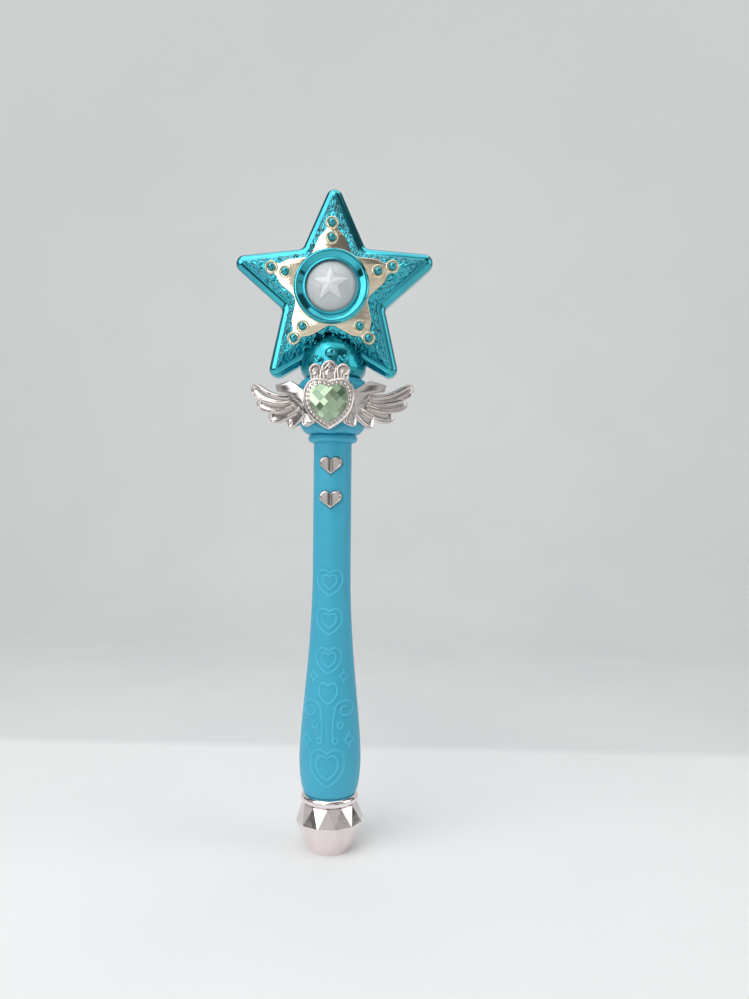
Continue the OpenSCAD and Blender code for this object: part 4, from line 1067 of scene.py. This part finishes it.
def heart_stone():
    """Checker-cut stone: a dome of flat diamonds, each cut to the heart's outline, on a straight wall."""
    wide, tall, shift = CHECK_HALF, CHECK_HALF * CHECK_TALL, 0.6
    girdle = HEART_FRONT_F + 0.35
    fall = (STONE_TOP_F - girdle) / (0.53 * STONE_W) ** 2
    outline = resampled(full_heart(STONE_W - 0.1, STONE_H - 0.1, STONE_DIP), 140, closed=True)
    # Along p and q, the two slanted directions of the checks, every diamond is a square with sides of 2
    across, along = outline[:, 0] / wide, (outline[:, 1] - shift) / tall
    slanted = list(np.stack([across + along, across - along], 1))
    form = bmesh.new()
    for p in range(-2 * CHECK_REACH, 2 * CHECK_REACH, 2):
        for q in range(-2 * CHECK_REACH, 2 * CHECK_REACH, 2):
            cell = slanted
            for axis, limit, sign in ((0, p, -1), (0, p + 2, 1), (1, q, -1), (1, q + 2, 1)):
                cell = clipped(cell, axis, limit, sign)
            if len(cell) < 3:
                continue
            u, v = np.array(cell).T
            sag = p * p + (u - p) * (2 * p + 2) + q * q + (v - q) * (2 * q + 2)
            forward = STONE_TOP_F - fall * wide ** 2 / 2 * sag
            spots = np.stack([wide * (u + v) / 2, -forward, STONE_Z + shift + tall * (u - v) / 2], 1)
            form.faces.new([form.verts.new(spot) for spot in spots])
    bmesh.ops.remove_doubles(form, verts=form.verts, dist=CHECK_WELD)
    bmesh.ops.dissolve_degenerate(form, edges=form.edges, dist=CHECK_WELD)
    grown = bmesh.ops.extrude_edge_only(form, edges=[e for e in form.edges if e.is_boundary])["geom"]
    for v in grown:
        if isinstance(v, bmesh.types.BMVert):
            v.co.y = -(HEART_BACK_F + 1.2)
    bmesh.ops.holes_fill(form, edges=[e for e in form.edges if e.is_boundary])
    stone = piece("heart_stone", shape_of(form), "green_stone", replaces=["heart_gem"], smooth=0)

    # Painted reflection of each facet: a tone from two layers of noise over the facet's middle.
    def painted_check_reflection(c, area):
        broad, fine = blots(c.x * 0.37 + 3.1, c.z * 0.37 + 0.7, 1.7), blots(c.x * 1.9, c.z * 1.9, 4.2)
        return min(max(0.52 + 0.60 * broad + 0.60 * fine, 0.05), 1.0)

    paint_facets(stone, painted_check_reflection)


# Buttons and cap
BUTTON_W, BUTTON_H = 11.5, 9.2
PLUNGER_R = 1.7
CREASE_FLAT, CREASE_W, CREASE_H = 0.15, 0.8, 0.6
# Raised edge of a button: insets and distances below its face
BUTTON_EDGE = ((0, 0.95), (0.12, 0.6), (0.4, 0.22), (0.75, 0.02), (0.85, 0.0))
HOLLOW_SHARES = (0.95, 0.8, 0.65, 0.5, 0.36, 0.25, 0.16, 0.09, 0.04, 0.01)


def heart_button(name, node, body):
    """Plated heart with a raised edge and a sharp crease between two hollow halves."""
    low, high = span(node)
    z = (low[2] + high[2]) / 2
    face_f, flange_f = -low[1], -high[1] + 1.8
    outline = resampled(rounded_loop(heart(BUTTON_W, BUTTON_H)), 160, closed=True)
    notch = outline[np.abs(outline[:, 0]) < 0.35][:, 1].max()

    def ring(share, inset, forward, fold=0):
        x = outline[:, 0] * (1 - 2 * inset / BUTTON_W)
        y = outline[:, 1] * (1 - 2 * inset / BUTTON_H)
        held = np.clip(y, -BUTTON_H / 2 + 0.8, notch - 0.7)
        depth = forward - fold * (1 - np.exp(-np.maximum(np.abs(x * share) - CREASE_FLAT, 0) / CREASE_W))
        return np.stack([x * share, -depth, z + held + (y - held) * share], 1)

    rings = [ring(1, 0, flange_f)] + [ring(1, inset, face_f - below) for inset, below in BUTTON_EDGE]
    rings += [ring(share, 0.9, face_f, CREASE_H) for share in HOLLOW_SHARES]
    corners = [(low[0], low[2]), (high[0], low[2]), (high[0], high[2]), (low[0], high[2])]
    plate = prism(corners, flange_f - 1.0, flange_f, forward_of(0, 0))
    stem = [(PLUNGER_R, -high[1]), (PLUNGER_R, flange_f - 0.6)]
    shape = joined([loft(rings, caps=True), plate, turned(stem, forward_of(0, z), 24, caps=True)])
    piece(name, shape, "silver_plating", body=body, replaces=[node], smooth=32)


# Softened edges of the cap: their width, and the area in square metres that tells them from facets
EDGE_W, EDGE_AREA = 0.16, 4e-6


def faceted_cap():
    """Cap of triangular facets with softened edges, and a rounded lip above them."""
    n, turn = CAP_SIDES, math.pi / CAP_SIDES
    points = []
    for k, (r, z) in enumerate(CAP_RINGS):
        angle = -math.pi / 2 + (turn if k == 1 else 0) + np.arange(n) * 2 * turn
        points += list(upright(*circle(angle, r).T, z))
    faces = [tuple(range(n)), tuple(range(2 * n, 3 * n))]
    for i in range(n):
        j = (i + 1) % n
        faces += [(i, n + i, j), (j, n + i, n + j), (2 * n + i, n + i, 2 * n + j), (n + i, n + j, 2 * n + j)]
    form = bmesh.new()
    corners = [form.verts.new(p) for p in points]
    for face in faces:
        form.faces.new([corners[k] for k in face])
    bmesh.ops.recalc_face_normals(form, faces=form.faces)
    bmesh.ops.bevel(form, geom=form.edges[:] + form.verts[:], offset=EDGE_W, segments=2, profile=0.5,
                    affect="EDGES", clamp_overlap=True)
    cap = piece("faceted_cap", shape_of(form), "silver_plating", replaces=["end_cap"], smooth=0,
                finish=FACET_FINISH)

    # Painted reflection: each facet gets a darker tone of its own, the upper facets much darker, as if they
    # threw back a grey room; the small softened edges keep the plating's full colour.
    def painted_reflection_tone(c, area):
        low = 0.15 if c.z > CAP_RINGS[1][1] else 0.72
        spread = 0.5 + 1.1 * blots(c.x * 0.31, c.y * 0.31, c.z * 0.2)
        return 1.0 if area < EDGE_AREA else min(low + (1 - low) * max(spread, 0.0), 1.0)

    paint_facets(cap, painted_reflection_tone)
    r = (CAP_H - CAP_FACET_H) / 2
    lip = [(CAP_RINGS[2][0] - 1.2, CAP_FACET_H - 0.4)]
    lip += list(circle(np.linspace(-1.45, math.pi / 2, 20), r) + [CAP_LIP_R - r, CAP_H - r])
    lip += [(CAP_BORE_R, CAP_H), (CAP_BORE_R, CAP_FACET_H - 0.4)]
    piece("cap_lip", turned(lip + lip[:1], upright, 120), "silver_plating", finish=CAP_FINISH)


# Grip ornaments
LINE_R, LINE_SUNK = 0.55, 0.08
# Width, height and place up the grip of every heart
HEART_LINES = [shape for z in (137.5, 118.0, 98.5) for shape in ((12.5, 12.9, z), (7.0, 7.2, z + 0.5))]
HEART_LINES += [(9.0, 10.3, 82.3), (16.6, 18.7, 45.5), (10.6, 12.0, 46.0)]
# Place, half width and half height of the sparks of one side
SPARKS = ((7.5, 90.6, 2.3, 3.5), (10.4, 59.0, 2.6, 4.1))
STEM_FOOT, STEM_BEND = (3.0, 57.8), (2.0, 66.0)
# Small curls of one side: place, first and last radius, first angle and turns
SMALL_CURLS = ((5.9, 66.6, 1.9, 0.7, math.radians(100), -1.1), (4.0, 59.0, 1.7, 0.7, math.radians(40), 1.1))


def grip_radius(z):
    """Radius of the grip: an elliptic foot, then a long taper."""
    z = np.asarray(z, float)
    foot = GRIP_FOOT_R + (BULGE_R - GRIP_FOOT_R) * np.sqrt(np.clip(1 - ((BULGE_Z - z) / BULGE_RISE) ** 2, 0, 1))
    share = np.clip((z - BULGE_Z) / TAPER_LEN, 0, 1) ** TAPER_BIAS
    taper = GRIP_R + (BULGE_R - GRIP_R) * (1 + np.cos(math.pi * share)) / 2
    return np.where(z < BULGE_Z, foot, taper)


def on_grip(flat):
    """Puts points of the front view onto the grip's surface."""
    flat = np.asarray(flat, float)
    r = grip_radius(flat[:, 1]) - LINE_SUNK
    return np.stack([flat[:, 0], -np.sqrt(r * r - flat[:, 0] ** 2), flat[:, 1]], 1)


def raised_line(flat, closed):
    """A round line that stands out of the grip."""
    path = on_grip(flat)
    return tube(path, LINE_R, 8, closed, out=unit(path * [1, 1, 0]))


def raised_heart(width, height, z):
    return raised_line(resampled(full_heart(width, height, 0.12 * height), 120, closed=True) + [0, z], True)


def sparkle(x, z, half_w, half_h):
    """Four-pointed spark with hollow sides."""
    line = circle(full_turn(48), 1.0)
    line = [x, z] + np.array([half_w, half_h]) * np.sign(line) * np.abs(line) ** 3.2
    return raised_line(resampled(line, 48, closed=True), True)


def spiral(x, z, start_r, end_r, start, turns, side, count=60):
    """A scroll that winds in round (x, z), mirrored by side."""
    t = np.linspace(0, 1, count)
    winding = circle(start + 2 * math.pi * turns * t, start_r + (end_r - start_r) * t)
    return (winding + [x, z]) * [side, 1]


def grip_ornaments():
    """Raised lines on the grip: hearts up the middle, with sparks and scrolls beside the lower ones."""
    shapes = [raised_heart(*shape) for shape in HEART_LINES]
    for side in (-1, 1):
        shapes += [sparkle(side * x, *shape) for x, *shape in SPARKS]
        scroll = spiral(8.5, 74.2, 5.0, 1.3, math.pi, -1.35, side)
        ends = [(side * x, z) for x, z in (STEM_FOOT, STEM_BEND)] + [scroll[0]]
        stem = bent(ends, np.linspace(0, 1, 24)[:, None])
        shapes.append(raised_line(resampled(np.vstack([stem[:-1], scroll]), 110), False))
        shapes += [raised_line(spiral(*curl, side, 36), False) for curl in SMALL_CURLS]
    piece("grip_ornaments", joined(shapes), "grip_plastic", finish=LINE_FINISH)


PAD_HALF_W, PAD_HALF_H = 11.2, 12.2
# Sizes of the pad's rings as shares, and how far forward they are
PAD_RINGS = ((1.06, -2.4), (1.03, -0.55), (1.0, -0.12), (0.97, 0.0), (0.6, 0.0))


def crest_pad():
    """Raised pad of the hub on which the crest sits; its lower edge shows under the heart."""
    turn = full_turn(96)
    rings = []
    for share, forward in PAD_RINGS:
        x, z = PAD_HALF_W * share * np.cos(turn), PAD_HALF_H * share * np.sin(turn) - 1.0
        depth = HUB_R - 0.25 + forward - 0.012 * x * x * (1 if share > 0.9 else 0.4)
        rings.append(np.stack([x, -depth, CREST_Z + z], 1))
    piece("crest_pad", loft(rings, caps=True), "grip_plastic", smooth=30)


def dress_frame():
    """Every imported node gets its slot's finish and smooth shading."""
    for row in frame["record"]["subparts"]:
        mesh = frame["nodes"][row["node"]].data
        mesh.materials.clear()
        mesh.materials.append(FINISHES[row["material_slot"]])
        shade_smooth(mesh, 28)


# Studio
WALL_Y, WALL_BEND = 1.0, 0.45
GREY_Y, GREY_BLUR = 0.165, 0.012
FADE_NEAR, FADE_FAR = 0.7, 1.7
ROOM_TONE = (0.62, 0.63, 0.63, 1)
STAGE_HALF, STAGE_FRONT, STAGE_TOP = 6.0, -6.0, 3.0
FLAG_R, FLAG_STEPS = 2.0, 64
# Front part of the room, by how far a direction points back, and patches in it
FRONT_FROM, FRONT_TO, PATCH_SCALE = -0.97, -0.85, 2.2
ROOM_LIGHT = 0.5
# Lamps: place, aim, width, height and watts
LAMPS = {
    "key": ((-0.60, -0.75, 0.85), (0, 0, 0.22), 1.2, 1.2, 8.8),
    "fill": ((1.10, -0.20, 0.60), (0, 0, 0.20), 0.6, 1.0, 2.2),
    "top": ((0.05, -0.10, 1.15), (0, 0, 0.2), 1.2, 1.0, 4.6),
}
CAMERA_AT = Vector((0.0390, -0.4080, 0.1800))
CAMERA_TURN = 0.042
CAMERA_ROLL = math.radians(0.5)
FOCAL_PX, IMAGE_H, SENSOR = 790.0, 999.0, 36.0


def set_stage(name, shape, finish):
    thing = put(name, made_mesh(name, shape, 60))
    thing.data.materials.append(finish)
    return thing


def backdrop():
    """Pale floor, grey behind the wand, that bends up into a far grey wall."""
    turn = np.linspace(0, math.pi / 2, 12)
    line = [(STAGE_FRONT, 0.0)]
    line += [(WALL_Y - WALL_BEND + WALL_BEND * math.sin(t), WALL_BEND * (1 - math.cos(t))) for t in turn]
    line += [(WALL_Y, STAGE_TOP)]
    rings = [np.array([(-STAGE_HALF, y, z), (STAGE_HALF, y, z)]) / MM for y, z in line]
    f = new_finish("backdrop_paper")
    fibre = f.clouds(3, 4)
    tone = f.clouds(180, 2).above(0.3, 0.7)
    behind = f.part(f.where(), 1).above(GREY_Y - GREY_BLUR, GREY_Y + GREY_BLUR)
    pale = f.blend(tone, (0.96, 0.965, 0.965, 1), (0.93, 0.935, 0.935, 1))
    grey = f.blend(tone, (0.84, 0.85, 0.845, 1), (0.80, 0.81, 0.81, 1))
    paper = f.surface(
        Base_Color=f.blend(behind, pale, grey),
        Roughness=0.75 + 0.1 * fibre,
        Normal=f.bump(fibre, 0.02),
    )
    # Far from the wand the stage runs out into the plain tone of the room
    away = f.add("ShaderNodeVectorMath", {"operation": "LENGTH"}, {0: f.where()}, output=1)
    plain = f.add("ShaderNodeEmission", {}, {"Color": ROOM_TONE})
    f.mix_in(away.above(FADE_NEAR, FADE_FAR) * f.seen(), plain)
    set_stage("backdrop", loft(rings, ring_closed=False), paper)


def flags():
    """Dark cards round the set, out of the camera's sight: they draw the lines in the plated parts."""
    lifts = np.linspace(0.0, math.radians(85), FLAG_STEPS // 4)
    profile = [(FLAG_R / MM * math.cos(t), FLAG_R / MM * math.sin(t)) for t in lifts]
    f = new_finish("flag_cloth")
    beside = f.part(f.where(), 1).above(FRONT_FROM * FLAG_R, FRONT_TO * FLAG_R)
    scale = PATCH_SCALE / FLAG_R
    patches = f.add("ShaderNodeTexNoise", {}, {"Vector": f.where(), "Scale": scale, "Detail": 2.0})
    weave = f.clouds(4, 2)
    cloth = f.surface(Base_Color=f.blend(weave, (0.17, 0.17, 0.17, 1), (0.21, 0.21, 0.21, 1)), Roughness=0.9)
    gap = 1.0 - beside * (1.0 - patches.above(0.53, 0.59))
    f.mix_in(gap, f.add("ShaderNodeBsdfTransparent"))
    dome = set_stage("flags", turned(profile, upright, FLAG_STEPS), cloth)
    dome.visible_camera = dome.visible_diffuse = dome.visible_transmission = dome.visible_shadow = False


def lamp(name, place, target, width, height, watts):
    light = bpy.data.lights.new(name, "AREA")
    light.shape = "RECTANGLE"
    light.size, light.size_y = width, height
    light.energy = watts
    thing = put(name, light)
    thing.location = place
    thing.rotation_euler = (Vector(target) - Vector(place)).to_track_quat("-Z", "Y").to_euler()


def studio():
    """Three soft lamps in a room with a lit front."""
    for name, values in LAMPS.items():
        lamp(name, *values)
    world = bpy.data.worlds.new("room")
    bpy.context.scene.world = world
    f = Finish(world)
    heading = f.add("ShaderNodeTexCoord", output=0)
    front = 1.0 - f.part(heading, 1).above(FRONT_FROM, FRONT_TO)
    patches = f.add("ShaderNodeTexNoise", {}, {"Vector": heading, "Scale": PATCH_SCALE, "Detail": 2.0})
    level = 0.05 + 0.30 * f.part(heading, 2).above(-0.2, 0.9) + 0.75 * front + 0.60 * patches.above(0.51, 0.57)
    room = f.blend(level, (0, 0, 0, 1), (0.95, 0.98, 1.0, 1))
    light = f.add("ShaderNodeBackground", {}, {"Color": room, "Strength": ROOM_LIGHT})
    # Eye, metal and glass see a plain pale room where the stage ends; the lit room only lights the wand
    plain = f.add("ShaderNodeBackground", {}, {"Color": ROOM_TONE, "Strength": 1.0})
    both = f.add("ShaderNodeMixShader", {}, {0: f.seen(), 1: light, 2: plain})
    f.add("ShaderNodeOutputWorld", {}, {"Surface": both})
    bpy.context.scene.view_settings.view_transform = "Standard"


def camera():
    """Camera at the photograph's place, turned and rolled as it was held."""
    ahead = Vector((-CAMERA_TURN, 1, 0)).normalized()
    right = ahead.cross(Vector((0, 0, 1)))
    up = right.cross(ahead)
    c, s = math.cos(CAMERA_ROLL), math.sin(CAMERA_ROLL)
    tilted_right, tilted_up = c * right + s * up, c * up - s * right
    lens = bpy.data.cameras.new("camera")
    lens.sensor_width = SENSOR
    lens.lens = FOCAL_PX / IMAGE_H * SENSOR
    lens.clip_start = 0.01
    thing = put("camera", lens)
    turn = Matrix((tilted_right, tilted_up, -ahead)).transposed()
    thing.matrix_world = Matrix.Translation(CAMERA_AT) @ turn.to_4x4()
    bpy.context.scene.camera = thing


dress_frame()
star_front()
star_back()
gold_plate()
studs()
light_ring()
light_dome()
neck_bulb()
crest()
beaded_heart()
heart_stone()
for end in ("upper", "lower"):
    heart_button(f"heart_button_{end}", f"button_{end}", f"button_{end}_body")
faceted_cap()
grip_ornaments()
crest_pad()
backdrop()
flags()
studio()
camera()
